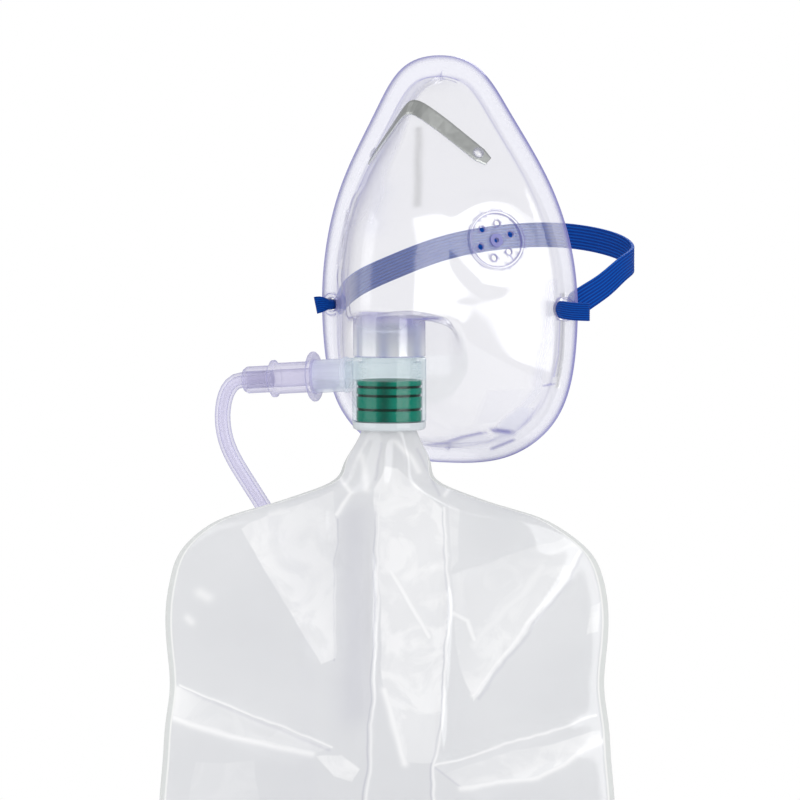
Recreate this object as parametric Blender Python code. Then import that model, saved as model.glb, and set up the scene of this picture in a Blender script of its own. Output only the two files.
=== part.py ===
"""Oxygen face mask with a reservoir bag, as an assembly of separate solids.

Metres, +Z up. The mask's opening lies round the origin and faces +Y, towards the face.
+X is the wearer's left. The port hangs straight down in front of the chin.
"""
import math

import bmesh
import bpy
import numpy as np
from mathutils import Matrix, Vector

MM = 0.001

# Clearances
GAP = 0.3 * MM
RUNNING_GAP = 0.3 * MM

# Mask shell: rim seen from the front, as shares of half its width and half its height
RIM_HALF_WIDTH = 52.3 * MM
RIM_HALF_HEIGHT = 69.3 * MM
RIM_STATIONS = (
    (0.0, 1.0),
    (0.255, 0.955),
    (0.51, 0.73),
    (0.825, 0.335),
    (0.982, -0.10),
    (0.982, -0.41),
    (0.84, -0.78),
    (0.46, -0.985),
    (0.0, -1.025),
)
RIM_LEAN = 0.082
RIM_LEAN_START = 18.0 * MM
FLANGE_WIDTH_TOP = 7.2 * MM
FLANGE_WIDTH_CHIN = 5.2 * MM
WALL = 1.3 * MM
RIM_ROWS = 28
SHELF_ROWS = (0.572, 0.590, 0.600, 0.655, 0.665, 0.690, 0.70)
WALL_COLUMNS = 10

# Mask shell: the middle line, as (row share, forward distance, height)
NOSE_DEPTH = 51.4 * MM
CHIN_DEPTH = 21.0 * MM
SHELF_HEIGHT = -0.28 * RIM_HALF_HEIGHT
SHELF_ROUND = 2.6 * MM
NOSE_ROUNDNESS = 0.27
CHIN_SQUARENESS = 2.6
SHELF_SHARE = 0.28
SHELF_FADE = 0.27

# Port socket below the shelf
PORT_FORWARD = 36.6 * MM
PORT_BORE_RADIUS = 11.15 * MM
PORT_WALL = 1.1 * MM
PORT_LENGTH = 13.6 * MM
PORT_ROUND_SIDES = 40

# Exhalation discs, one on each cheek
DISC_RADIUS = 10.2 * MM
DISC_RIM = 1.0 * MM
DISC_PROUD = 0.9 * MM
DISC_FLAT = 12.5 * MM
DISC_BLEND = 7.0 * MM
DISC_X = 0.591 * RIM_HALF_WIDTH
DISC_Z = 0.091 * RIM_HALF_HEIGHT
DISC_HOLES = 6
DISC_HOLE_RADIUS = 1.1 * MM
DISC_HOLE_CIRCLE = 6.0 * MM
DISC_CENTRE_HOLE = 0.9 * MM
DISC_CENTRE_BOSS = 2.2 * MM

# Strap eyes on the rim
EYE_HEIGHT = -0.247 * RIM_HALF_HEIGHT
EYE_INSET = 4.6 * MM
EYE_OUTER_RADIUS = 4.0 * MM
EYE_HOLE_RADIUS = 2.35 * MM
EYE_PROUD = 1.3 * MM

# Nose clip and its pegs
CLIP_WIDTH = 6.0 * MM
CLIP_THICKNESS = 0.7 * MM
CLIP_TOP_Z = 0.736 * RIM_HALF_HEIGHT
CLIP_HOLE_X = 0.392 * RIM_HALF_WIDTH
CLIP_HOLE_Z = 0.5094 * RIM_HALF_HEIGHT
CLIP_END = 5.0 * MM
CLIP_BEND = 3.0 * MM
CLIP_HOLE_RADIUS = 1.5 * MM
PEG_RADIUS = 1.15 * MM
PEG_HEAD_RADIUS = 1.9 * MM
PEG_HEAD_HEIGHT = 0.8 * MM

# Elastic strap
STRAP_WIDTH = 8.7 * MM
STRAP_TAIL_WIDTH = 6.0 * MM
STRAP_THICKNESS = 1.3 * MM
STRAP_PINCH = 1.75 * MM
STRAP_SPAN_BACK = 51.0 * MM
STRAP_STEPS = 48

# Tee connector
TEE_RADIUS = 12.5 * MM
TEE_SPIGOT_BORE = 9.2 * MM
TEE_SPIGOT_LENGTH = 11.4 * MM
TEE_SHOULDER = 1.6 * MM
TEE_LENGTH = 21.5 * MM
TEE_SKIRT_WALL = 1.2 * MM
TEE_ROUND_SIDES = 32
TEE_RIBS = 4
TEE_RIB_PITCH = 1.45 * MM
TEE_RIB_PROUD = 0.35 * MM
VALVE_SPOKES = 3
VALVE_SPOKE_WIDTH = 1.4 * MM
VALVE_SEAT_HEIGHT = 1.6 * MM
VALVE_HUB_RADIUS = 2.2 * MM
VALVE_PIN_RADIUS = 0.8 * MM
VALVE_PIN_HEIGHT = 2.0 * MM
VALVE_DROP = 3.2 * MM

# Valve flap
FLAP_RADIUS = 8.4 * MM
FLAP_THICKNESS = 0.5 * MM

# Side port and adaptor
SIDE_ANGLE = math.radians(197.0)
SIDE_DROP = 5.2 * MM
SIDE_DROOP = math.radians(3.6)
SIDE_RADIUS = 5.65 * MM
SIDE_WALL = 1.1 * MM
SIDE_MOUTH = 2.2 * MM
SIDE_REACH = 26.6 * MM
SIDE_START = 9.5 * MM
SIDE_COLLAR = 0.5 * MM
SIDE_COLLAR_AT = 14.2 * MM
ADAPTOR_FLANGE_RADIUS = 8.5 * MM
ADAPTOR_FLANGE_LENGTH = 1.9 * MM
FLANGE_OVERLAP = 1.2 * MM
STEM_LENGTH = 8.0 * MM
TUBE_SEAT = 12.0 * MM
ADAPTOR_COLLAR_AT = 13.9 * MM
ADAPTOR_BODY_RADIUS = 5.3 * MM
ADAPTOR_RING_RADIUS = 6.35 * MM
ADAPTOR_END_RADIUS = 4.6 * MM
ADAPTOR_LENGTH = 24.6 * MM
ADAPTOR_SIDES = 28

# Green band and bag ring
BAND_WALL = 1.6 * MM
BAND_LENGTH = 13.9 * MM
BAND_GROOVE_SHARES = (0.16, 0.37, 0.71)
BAND_GROOVE_DEPTH = 0.35 * MM
BAND_GROOVE_WIDTH = 0.9 * MM
RING_LENGTH = 2.7 * MM
RING_RADIUS = 12.4 * MM

# Reservoir bag
BAG_HALF_WIDTH = 75.0 * MM
BAG_DROP = 250.0 * MM
BAG_HALF_DEPTH = 7.5 * MM
BAG_FILM = 0.5 * MM
BAG_WELD = 2.4 * MM
BAG_TURN = math.radians(33.0)
BAG_NECK_INSIDE = 4.0 * MM
BAG_COLUMNS = 32
BAG_ROWS = 24

# Oxygen tube
TUBE_RADIUS = 2.7 * MM
COIL_MEAN_RADIUS = 30.0 * MM
COIL_DROP = 171.0 * MM
COIL_HALF_WIDTH = 8.2 * MM
COIL_HALF_DEPTH = 9.8 * MM
COIL_BEHIND = 22.0 * MM
COIL_ASIDE = 7.0 * MM
COIL_ENTRY_OUT = 5.4 * MM
COIL_EXIT_OUT = 2.7 * MM
COIL_LAYER = 7.0 * MM
TIE_GAP = 0.8 * MM
END_NECK_RADIUS = 4.2 * MM
END_WALL = 1.2 * MM
END_LENGTH = 34.0 * MM
END_RADIUS = 5.6 * MM
TIE_THICKNESS = 1.6 * MM
TIE_WIDTH = 7.0 * MM

# Heights that follow from the sizes above
SOCKET_END = SHELF_HEIGHT - PORT_LENGTH
TEE_TOP = SOCKET_END - GAP
TEE_BOTTOM = TEE_TOP - TEE_LENGTH
SPIGOT_RADIUS = PORT_BORE_RADIUS - RUNNING_GAP
SPIGOT_TOP = TEE_TOP + TEE_SPIGOT_LENGTH
SKIRT_BORE = TEE_RADIUS - TEE_SKIRT_WALL
BAND_OUTER = SKIRT_BORE - GAP
BAND_BORE = BAND_OUTER - BAND_WALL
RING_TOP = TEE_BOTTOM - GAP
RING_BOTTOM = RING_TOP - RING_LENGTH
NECK_RADIUS = BAND_BORE - GAP
RING_BORE = NECK_RADIUS + GAP
PORT_AXIS = Vector((0.0, -PORT_FORWARD, 0.0))
SIDE_HEIGHT = TEE_TOP - SIDE_DROP


def smooth_line(knots, points, at):
    """Natural cubic spline: one linear system gives the second derivatives at the knots."""
    knots = np.asarray(knots, float)
    points = np.asarray(points, float)
    at = np.asarray(at, float)
    gap = np.diff(knots)
    count = len(knots)
    system = np.eye(count)
    load = np.zeros_like(points)
    inner = np.arange(1, count - 1)
    system[inner, inner - 1] = gap[:-1]
    system[inner, inner] = 2.0 * (gap[:-1] + gap[1:])
    system[inner, inner + 1] = gap[1:]
    slope = np.diff(points, axis=0) / gap[:, None]
    load[1:-1] = 6.0 * np.diff(slope, axis=0)
    bend = np.linalg.solve(system, load)
    k = np.clip(np.searchsorted(knots, at, side="right") - 1, 0, count - 2)
    step = gap[k][:, None]
    a = (knots[k + 1] - at)[:, None] / step
    b = 1.0 - a
    curve = (a**3 - a) * bend[k] + (b**3 - b) * bend[k + 1]
    return a * points[k] + b * points[k + 1] + curve * step**2 / 6.0


def chord_knots(points):
    """Distances along a line of points, the spline's parameter."""
    steps = np.linalg.norm(np.diff(np.asarray(points, float), axis=0), axis=1)
    return np.concatenate([[0.0], np.cumsum(steps)])


def smoothstep(t):
    t = np.clip(t, 0.0, 1.0)
    return t * t * (3.0 - 2.0 * t)


def rim_curves(u):
    """Right half of the rim's outer edge and of the flange's inner edge, at row shares u."""
    half = [(x * RIM_HALF_WIDTH, z * RIM_HALF_HEIGHT) for x, z in RIM_STATIONS]
    before = [(-x, z) for x, z in half[3:0:-1]]
    after = [(-x, z) for x, z in half[-2:-5:-1]]
    loop = np.array(before + half + after)
    knots = chord_knots(loop)
    first = knots[len(before)]
    last = knots[len(before) + len(half) - 1]
    at = first + (last - first) * u
    outer = smooth_line(knots, loop, at)
    ahead = smooth_line(knots, loop, at + 1e-4)
    along = ahead - outer
    along /= np.linalg.norm(along, axis=1)[:, None]
    inward = np.stack([along[:, 1], -along[:, 0]], axis=1)
    share = smoothstep((outer[:, 1] / RIM_HALF_HEIGHT + 1.0) / 2.0)
    width = FLANGE_WIDTH_CHIN + (FLANGE_WIDTH_TOP - FLANGE_WIDTH_CHIN) * share
    inner = outer + inward * width[:, None]
    inner[:, 0] = np.maximum(inner[:, 0], 0.0)
    ends = (u <= 0.0) | (u >= 1.0)
    inner[ends, 0] = 0.0
    return outer, inner


def rim_y(z):
    """The rim leans forward above its middle, against the port's upright axis."""
    return -0.5 * RIM_LEAN * (z + np.sqrt(z**2 + RIM_LEAN_START**2))


def middle_line(u, inset, shelf_share=1.0):
    """Forward distance and height of the mask on its middle plane, at row shares u.

    An inset moves the line inward: back at the nose and chin, and up at the shelf. With a
    shelf share of zero it is the cheeks' line, which runs from nose to chin with no shelf.
    """
    _, edge = rim_curves(np.array([0.0, 1.0]))
    top = edge[0, 1] - inset
    foot = edge[1, 1] + inset
    nose = NOSE_DEPTH - 1.15 * inset
    chin = CHIN_DEPTH - inset
    shelf = SHELF_HEIGHT + inset
    turn = SHELF_ROUND
    if shelf_share == 0.0:
        middle = (
            (0.54, 0.95 * nose, 0.45 * SHELF_HEIGHT),
            (0.60, 0.82 * nose, 0.26 * foot),
            (0.66, 0.66 * nose, 0.37 * foot),
            (0.70, 0.55 * nose, 0.45 * foot),
            (0.76, chin + turn, 0.58 * foot),
        )
    else:
        middle = (
            (0.54, 1.00 * nose, 0.5 * SHELF_HEIGHT),
            (0.575, nose - 0.3 * MM, shelf + 1.2 * turn),
            (0.605, nose - 1.2 * turn, shelf + 0.1 * turn),
            (0.665, chin + turn, shelf),
            (0.690, chin, shelf - turn),
            (0.76, chin, 0.60 * foot),
        )
    stations = (
        (0.00, -rim_y(top) - inset, top),
        (0.06, 0.30 * nose, top - 4.0 * MM),
        (0.16, 0.52 * nose, 0.70 * top),
        (0.26, 0.66 * nose, 0.545 * top),
        (0.36, 0.81 * nose, 0.36 * top),
        (0.46, 0.95 * nose, 0.14 * top),
        *middle,
        (0.86, 0.86 * chin, 0.80 * foot),
        (0.94, 0.45 * chin, 0.95 * foot),
        (1.00, -rim_y(foot) - inset, foot),
    )
    knots = [row[0] for row in stations]
    line = smooth_line(knots, [row[1:] for row in stations], u)
    return line[:, 0], line[:, 1]


def mask_surface(u, s, inset=0.0):
    """Face of the dome: u runs down the rows, s from the middle line (0) to the flange (1).

    Each row is a hyperbola in the nose, whose tip is round, and a flatter power curve at
    the chin. Its height runs from the middle line's to the rim's. The inner face is the
    same surface with a narrower edge and an inset middle line.
    """
    _, edge = rim_curves(u[:, 0])
    side = np.abs(s)
    cheek = smoothstep((side - SHELF_SHARE) / SHELF_FADE)
    nose_line = middle_line(u[:, 0], inset)
    cheek_line = middle_line(u[:, 0], inset, 0.0)
    depth, height = (
        a[:, None] + (b - a)[:, None] * cheek for a, b in zip(nose_line, cheek_line)
    )
    edge_x = np.maximum(edge[:, 0] - inset, 0.0)[:, None]
    edge_z = edge[:, 1][:, None]
    edge_z = edge_z - inset * np.sign(edge_z) * np.abs(edge_z / RIM_HALF_HEIGHT) ** 4
    edge_y = rim_y(edge_z) + inset
    tip = NOSE_ROUNDNESS
    wedge = (np.sqrt(side**2 + tip**2) - tip) / (math.sqrt(1.0 + tip**2) - tip)
    bowl = side**CHIN_SQUARENESS
    share = smoothstep((u - 0.56) / 0.16)
    fall = wedge * (1.0 - share) + bowl * share
    y = -depth + (edge_y + depth) * fall
    z = height + (edge_z - height) * side**1.8
    x = s * edge_x
    return np.stack([x, y, z], axis=-1)


def unit(v):
    return v / np.linalg.norm(v, axis=-1, keepdims=True)


def surface_frame(u, s):
    """Point, outward normal, and the two tangents of the dome's outer face at one (u, s)."""
    step = 1e-3

    def at(a, b):
        return mask_surface(np.array([[a]]), np.array([[b]]))[0, 0]

    point = at(u, s)
    down = at(u + step, s) - at(u - step, s)
    across = at(u, s + step) - at(u, s - step)
    normal = unit(np.cross(across, down))
    if normal[1] > 0.0:
        normal = -normal
    across = unit(across)
    return point, normal, across, np.cross(normal, across)


def flatten_discs(points, inset):
    """Draws the wall round each exhalation disc onto the disc's own plane."""
    for side in (1.0, -1.0):
        centre, normal, _, _ = surface_frame(*locate(side * DISC_X, DISC_Z))
        offset = points - centre
        away = offset @ normal + inset
        flat = np.linalg.norm(offset - away[..., None] * normal, axis=-1)
        share = 1.0 - smoothstep((flat - DISC_FLAT) / DISC_BLEND)
        share = share * (np.abs(away) < DISC_FLAT)
        points = points - (away * share)[..., None] * normal
    return points


def fillet_rows(dome, outer):
    """Rounds the corner between wall and flange with a quadratic arc in each row."""
    edge = dome[:, -1]
    wall_end = dome[:, -2]
    flange_end = edge + (outer - edge) * 0.42
    arc = []
    for t in (0.33, 0.67):
        arc.append((1 - t) ** 2 * wall_end + 2 * t * (1 - t) * edge + t**2 * flange_end)
    middle = edge + (outer - edge) * 0.72
    return np.stack(arc + [flange_end, middle, outer], axis=1)


def material(name, rgb, roughness, metallic=0.0, alpha=1.0):
    mat = bpy.data.materials.new(name)
    mat.use_nodes = True
    shader = mat.node_tree.nodes["Principled BSDF"]
    shader.inputs["Base Color"].default_value = (*rgb, 1.0)
    shader.inputs["Roughness"].default_value = roughness
    shader.inputs["Metallic"].default_value = metallic
    shader.inputs["Alpha"].default_value = alpha
    return mat


def add_mesh(name, verts, faces, mat):
    mesh = bpy.data.meshes.new(name)
    mesh.from_pydata([tuple(v) for v in verts], [], faces)
    mesh.materials.append(mat)
    obj = bpy.data.objects.new(name, mesh)
    bpy.context.scene.collection.objects.link(obj)
    return obj


def face_outward(obj):
    """Merges doubles and turns every face of a closed mesh outward."""
    bm = bmesh.new()
    bm.from_mesh(obj.data)
    bmesh.ops.remove_doubles(bm, verts=bm.verts, dist=1e-6)
    bmesh.ops.recalc_face_normals(bm, faces=bm.faces)
    bm.to_mesh(obj.data)
    bm.free()


def shade(obj):
    obj.data.shade_smooth()
    obj.data.set_sharp_from_angle(angle=math.radians(35.0))


def turned(name, profile, sides, mat, frame=None):
    """Closed ring of the (radius, height) profile turned about the frame's Z axis."""
    count = len(profile)
    angles = np.linspace(0.0, 2.0 * math.pi, sides, endpoint=False)
    profile = np.array(profile, float)
    ring = np.stack([np.cos(angles), np.sin(angles)], axis=1)
    verts = np.zeros((sides, count, 3))
    verts[:, :, 0] = ring[:, 0:1] * profile[:, 0]
    verts[:, :, 1] = ring[:, 1:2] * profile[:, 0]
    verts[:, :, 2] = profile[:, 1]
    faces = []
    for i in range(sides):
        j = (i + 1) % sides
        for k in range(count):
            m = (k + 1) % count
            faces.append((i * count + k, i * count + m, j * count + m, j * count + k))
    obj = add_mesh(name, verts.reshape(-1, 3), faces, mat)
    if frame is not None:
        obj.data.transform(frame)
    face_outward(obj)
    shade(obj)
    return obj


def plug(name, profile, sides, mat, frame):
    """Solid turned about the frame's Z axis, with one flat face at each end of the profile."""
    angles = np.linspace(0.0, 2.0 * math.pi, sides, endpoint=False)
    ring = np.stack([np.cos(angles), np.sin(angles)], axis=1)
    verts = [(r * c, r * s, z) for r, z in profile for c, s in ring]
    faces = []
    for k in range(len(profile) - 1):
        for i in range(sides):
            j = (i + 1) % sides
            a, b = k * sides, (k + 1) * sides
            faces.append((a + i, a + j, b + j, b + i))
    faces.append(tuple(range(sides)))
    faces.append(tuple((len(profile) - 1) * sides + i for i in range(sides)))
    obj = add_mesh(name, verts, faces, mat)
    obj.data.transform(frame)
    face_outward(obj)
    return obj


def rod(name, radius, start, end, sides, mat):
    """Solid cylinder from start to end."""
    start = Vector(start)
    axis = Vector(end) - start
    frame = Matrix.Translation(start) @ axis.to_track_quat("Z", "Y").to_matrix().to_4x4()
    mesh = bpy.data.meshes.new(name)
    bm = bmesh.new()
    bmesh.ops.create_cone(
        bm, cap_ends=True, segments=sides, radius1=radius, radius2=radius, depth=axis.length
    )
    bmesh.ops.translate(bm, verts=bm.verts, vec=(0.0, 0.0, axis.length / 2.0))
    bm.to_mesh(mesh)
    bm.free()
    mesh.transform(frame)
    mesh.materials.append(mat)
    obj = bpy.data.objects.new(name, mesh)
    bpy.context.scene.collection.objects.link(obj)
    return obj


def combine(target, other, operation):
    """Boolean of two meshes, applied, with the second object removed."""
    mod = target.modifiers.new("join", "BOOLEAN")
    mod.operation = operation
    mod.solver = "EXACT"
    mod.object = other
    graph = bpy.context.evaluated_depsgraph_get()
    mesh = bpy.data.meshes.new_from_object(target.evaluated_get(graph))
    target.modifiers.clear()
    target.data = mesh
    bpy.data.objects.remove(other)
    return target


def tidy_mesh(obj, distance=2e-6):
    bm = bmesh.new()
    bm.from_mesh(obj.data)
    bmesh.ops.remove_doubles(bm, verts=bm.verts, dist=distance)
    bmesh.ops.dissolve_degenerate(bm, edges=bm.edges, dist=distance)
    bmesh.ops.triangulate(bm, faces=bm.faces)
    bm.to_mesh(obj.data)
    bm.free()


def frame_at(origin, axis, side=None):
    """Matrix whose Z lies along axis at origin, with X as near side as it can be."""
    z = Vector(axis).normalized()
    x = Vector(side) if side is not None else z.orthogonal()
    x = (x - z * x.dot(z)).normalized()
    y = z.cross(x)
    return Matrix.Translation(Vector(origin)) @ Matrix((x, y, z)).transposed().to_4x4()


def shell_skin(inset):
    """Points of one face of the mask, rim to rim, then five more down each pole's middle line."""
    u = np.linspace(0.0, 1.0, RIM_ROWS + 1)
    u = np.sort(np.concatenate([u, SHELF_ROWS]))[1:-1]
    s = np.append(np.linspace(0.0, 0.93, WALL_COLUMNS), [0.965, 1.0])
    grid_u, grid_s = np.meshgrid(u, s, indexing="ij")
    dome = flatten_discs(mask_surface(grid_u, grid_s, inset), inset)
    outer_xz, _ = rim_curves(u)
    lift = rim_y(outer_xz[:, 1]) + inset
    outer = np.stack([outer_xz[:, 0], lift, outer_xz[:, 1]], axis=1)
    right = np.concatenate([dome[:, :-1], fillet_rows(dome, outer)], axis=1)
    left = right[:, :0:-1] * np.array([-1.0, 1.0, 1.0])
    rows = np.concatenate([left, right], axis=1)
    ends_xz, _ = rim_curves(np.array([0.0, 1.0]))
    poles = []
    for row, end in ((0, 0), (-1, 1)):
        depth, height = middle_line(np.array([float(end)]), inset)
        edge = np.array([0.0, -depth[0], height[0]])
        tip = np.array([0.0, rim_y(ends_xz[end, 1]) + inset, ends_xz[end, 1]])
        start = edge * 0.6 + rows[row, rows.shape[1] // 2] * 0.4
        poles.append([start] + [edge + (tip - edge) * t for t in (0.3, 0.42, 0.72, 1.0)])
    return rows, np.array(poles)


def skin_faces(count_rows, count, base):
    """Faces of one skin, and the ids of the points along its rim, once round."""
    faces = []
    for i in range(count_rows - 1):
        for k in range(count - 1):
            a = base + i * count + k
            faces.append((a, a + 1, a + 1 + count, a + count))
    fan = 5
    rim_tips = []
    for row, pole in ((0, 0), (count_rows - 1, 1)):
        chain = [base + count_rows * count + pole * fan + k for k in range(fan)]
        rim_tips.append(chain[-1])
        start = base + row * count
        for half in (0, 1):
            line = [start + (k if half == 0 else count - 1 - k) for k in range(count // 2 + 1)]
            flip = (half == 0) == (pole == 0)
            for k in range(fan - 1):
                quad = (line[k], line[k + 1], chain[fan - 2 - k], chain[fan - 1 - k])
                faces.append(quad if flip else quad[::-1])
            for k in range(fan - 1, count // 2):
                tri = (line[k], line[k + 1], chain[0])
                faces.append(tri if flip else tri[::-1])
    right = [base + i * count + count - 1 for i in range(count_rows)]
    left = [base + i * count for i in range(count_rows)][::-1]
    return faces, [rim_tips[0]] + right + [rim_tips[1]] + left


def shell_sheet(mat):
    """Closed shell of an outer and an inner skin, joined along the rim's edge."""
    verts = []
    skins = []
    for inset in (0.0, WALL):
        rows, poles = shell_skin(inset)
        skins.append(skin_faces(rows.shape[0], rows.shape[1], len(verts)))
        verts += list(rows.reshape(-1, 3)) + list(poles.reshape(-1, 3))
    (outer_faces, outer_rim), (inner_faces, inner_rim) = skins
    faces = outer_faces + [face[::-1] for face in inner_faces]
    count = len(outer_rim)
    for k in range(count):
        m = (k + 1) % count
        faces.append((outer_rim[k], outer_rim[m], inner_rim[m], inner_rim[k]))
    obj = add_mesh("mask_shell", verts, faces, mat)
    face_outward(obj)
    return obj


def locate(x, z):
    """Row share and column of the dome's point that stands at (x, z), seen from the front."""
    grid_u, grid_s = np.meshgrid(np.linspace(0.01, 0.99, 99), np.linspace(-1, 1, 81), indexing="ij")
    points = mask_surface(grid_u, grid_s)
    miss = np.hypot(points[..., 0] - x, points[..., 2] - z)
    best = np.unravel_index(np.argmin(miss), miss.shape)
    u, s = grid_u[best], grid_s[best]
    step = 1e-4
    for _ in range(12):
        spots = mask_surface(np.array([[u], [u + step], [u]]), np.array([[s], [s], [s + step]]))
        here = spots[0, 0, ::2]
        slope = np.stack([spots[1, 0, ::2] - here, spots[2, 0, ::2] - here], axis=1) / step
        move = np.linalg.solve(slope, np.array([x, z]) - here)
        u = min(max(u + move[0], 0.002), 0.998)
        s = min(max(s + move[1], -1.0), 1.0)
    return u, s


def add_port_socket(shell, mat):
    """Round socket that hangs from the shelf, open into the mask."""
    top = SHELF_HEIGHT + 0.5 * WALL
    outer = PORT_BORE_RADIUS + PORT_WALL
    lip = 0.4 * MM
    profile = ((outer, top), (outer, SOCKET_END + lip), (outer - lip, SOCKET_END))
    place = Matrix.Translation(PORT_AXIS)
    combine(shell, plug("socket", profile, PORT_ROUND_SIDES, mat, place), "UNION")
    low = PORT_AXIS + Vector((0.0, 0.0, SOCKET_END - 1.0 * MM))
    high = PORT_AXIS + Vector((0.0, 0.0, SHELF_HEIGHT + WALL + 0.8 * MM))
    combine(shell, rod("bore", PORT_BORE_RADIUS, low, high, PORT_ROUND_SIDES, mat), "DIFFERENCE")


def add_exhalation_disc(shell, side, mat):
    """Raised round rim and centre boss on the flat of the cheek, with holes through the wall."""
    centre, normal, across, _ = surface_frame(*locate(side * DISC_X, DISC_Z))
    frame = frame_at(centre, normal, across)
    sunk = -0.5 * WALL
    inner = DISC_RADIUS - DISC_RIM
    rim = (
        (inner, sunk),
        (DISC_RADIUS, sunk),
        (DISC_RADIUS, 0.55 * DISC_PROUD),
        (DISC_RADIUS - 0.35 * DISC_RIM, DISC_PROUD),
        (inner, DISC_PROUD),
    )
    combine(shell, turned("disc_rim", rim, 32, mat, frame), "UNION")
    boss_start = frame @ Vector((0.0, 0.0, sunk))
    boss_end = frame @ Vector((0.0, 0.0, 0.7 * DISC_PROUD))
    combine(shell, rod("boss", DISC_CENTRE_BOSS, boss_start, boss_end, 16, mat), "UNION")
    spots = [(0.0, 0.0, DISC_CENTRE_HOLE)]
    for k in range(DISC_HOLES):
        turn = 2.0 * math.pi * (k + 0.5) / DISC_HOLES
        x = DISC_HOLE_CIRCLE * math.cos(turn)
        y = DISC_HOLE_CIRCLE * math.sin(turn)
        spots.append((x, y, DISC_HOLE_RADIUS))
    for x, y, radius in spots:
        start = frame @ Vector((x, y, -2.5 * WALL))
        end = frame @ Vector((x, y, 2.0 * DISC_PROUD))
        combine(shell, rod("hole", radius, start, end, 10, mat), "DIFFERENCE")


def eye_place(side):
    """Centre of a strap eye on the front face of the flange."""
    u = np.linspace(0.2, 0.8, 241)
    outer, _ = rim_curves(u)
    near = int(np.argmin(np.abs(outer[:, 1] - EYE_HEIGHT)))
    x = outer[near, 0] - EYE_INSET
    return Vector((side * x, rim_y(EYE_HEIGHT), EYE_HEIGHT))


def add_strap_eye(shell, side, mat):
    """Raised collar round a hole through the flange."""
    place = eye_place(side)
    frame = frame_at(place, (0.0, -1.0, 0.0), (1.0, 0.0, 0.0))
    sunk = -0.6 * WALL
    collar = (
        (EYE_OUTER_RADIUS, sunk),
        (EYE_OUTER_RADIUS, 0.6 * EYE_PROUD),
        (EYE_OUTER_RADIUS - 0.5 * MM, EYE_PROUD),
    )
    combine(shell, plug("eye", collar, 24, mat, frame), "UNION")
    start = frame @ Vector((0.0, 0.0, -4.0 * MM))
    end = frame @ Vector((0.0, 0.0, EYE_PROUD + 1.0 * MM))
    combine(shell, rod("eye_hole", EYE_HOLE_RADIUS, start, end, 16, mat), "DIFFERENCE")


def add_clip_peg(shell, side, mat):
    """Peg through the clip's end hole, with a head that holds the strip on."""
    point, normal, across, _ = surface_frame(*locate(side * CLIP_HOLE_X, CLIP_HOLE_Z))
    frame = frame_at(point, normal, across)
    over = GAP + CLIP_THICKNESS + GAP
    profile = (
        (PEG_RADIUS, -0.6 * WALL),
        (PEG_RADIUS, over),
        (PEG_HEAD_RADIUS, over),
        (PEG_HEAD_RADIUS, over + 0.5 * PEG_HEAD_HEIGHT),
        (0.5 * PEG_RADIUS, over + PEG_HEAD_HEIGHT),
    )
    combine(shell, plug("peg", profile, 12, mat, frame), "UNION")


def make_mask_shell(mat):
    shell = shell_sheet(mat)
    add_port_socket(shell, mat)
    for side in (1.0, -1.0):
        add_exhalation_disc(shell, side, mat)
        add_strap_eye(shell, side, mat)
        add_clip_peg(shell, side, mat)
    tidy_mesh(shell)
    shade(shell)


def sweep(name, centres, wide, thick, half_wide, half_thick, sides, mat, power=2.0):
    """Closed solid of superellipse sections carried along a line of centres."""
    turn = np.linspace(0.0, 2.0 * math.pi, sides, endpoint=False) + math.pi / sides
    c = np.sign(np.cos(turn)) * np.abs(np.cos(turn)) ** (2.0 / power)
    s = np.sign(np.sin(turn)) * np.abs(np.sin(turn)) ** (2.0 / power)
    a = (half_wide[:, None] * c[None, :])[..., None]
    b = (half_thick[:, None] * s[None, :])[..., None]
    rings = centres[:, None, :] + a * wide[:, None, :] + b * thick[:, None, :]
    steps = len(centres)
    faces = []
    for i in range(steps - 1):
        for k in range(sides):
            m = (k + 1) % sides
            faces.append((i * sides + k, i * sides + m, (i + 1) * sides + m, (i + 1) * sides + k))
    faces.append(tuple(range(sides))[::-1])
    faces.append(tuple((steps - 1) * sides + k for k in range(sides)))
    obj = add_mesh(name, rings.reshape(-1, 3), faces, mat)
    face_outward(obj)
    shade(obj)
    return obj


def clip_line(x):
    """Height of the clip's middle line over x: a round bend at the nose and two straight legs."""
    bend = CLIP_BEND
    rise = (np.sqrt(x**2 + bend**2) - bend) / (math.hypot(CLIP_HOLE_X, bend) - bend)
    return CLIP_TOP_Z + (CLIP_HOLE_Z - CLIP_TOP_Z) * rise


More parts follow.
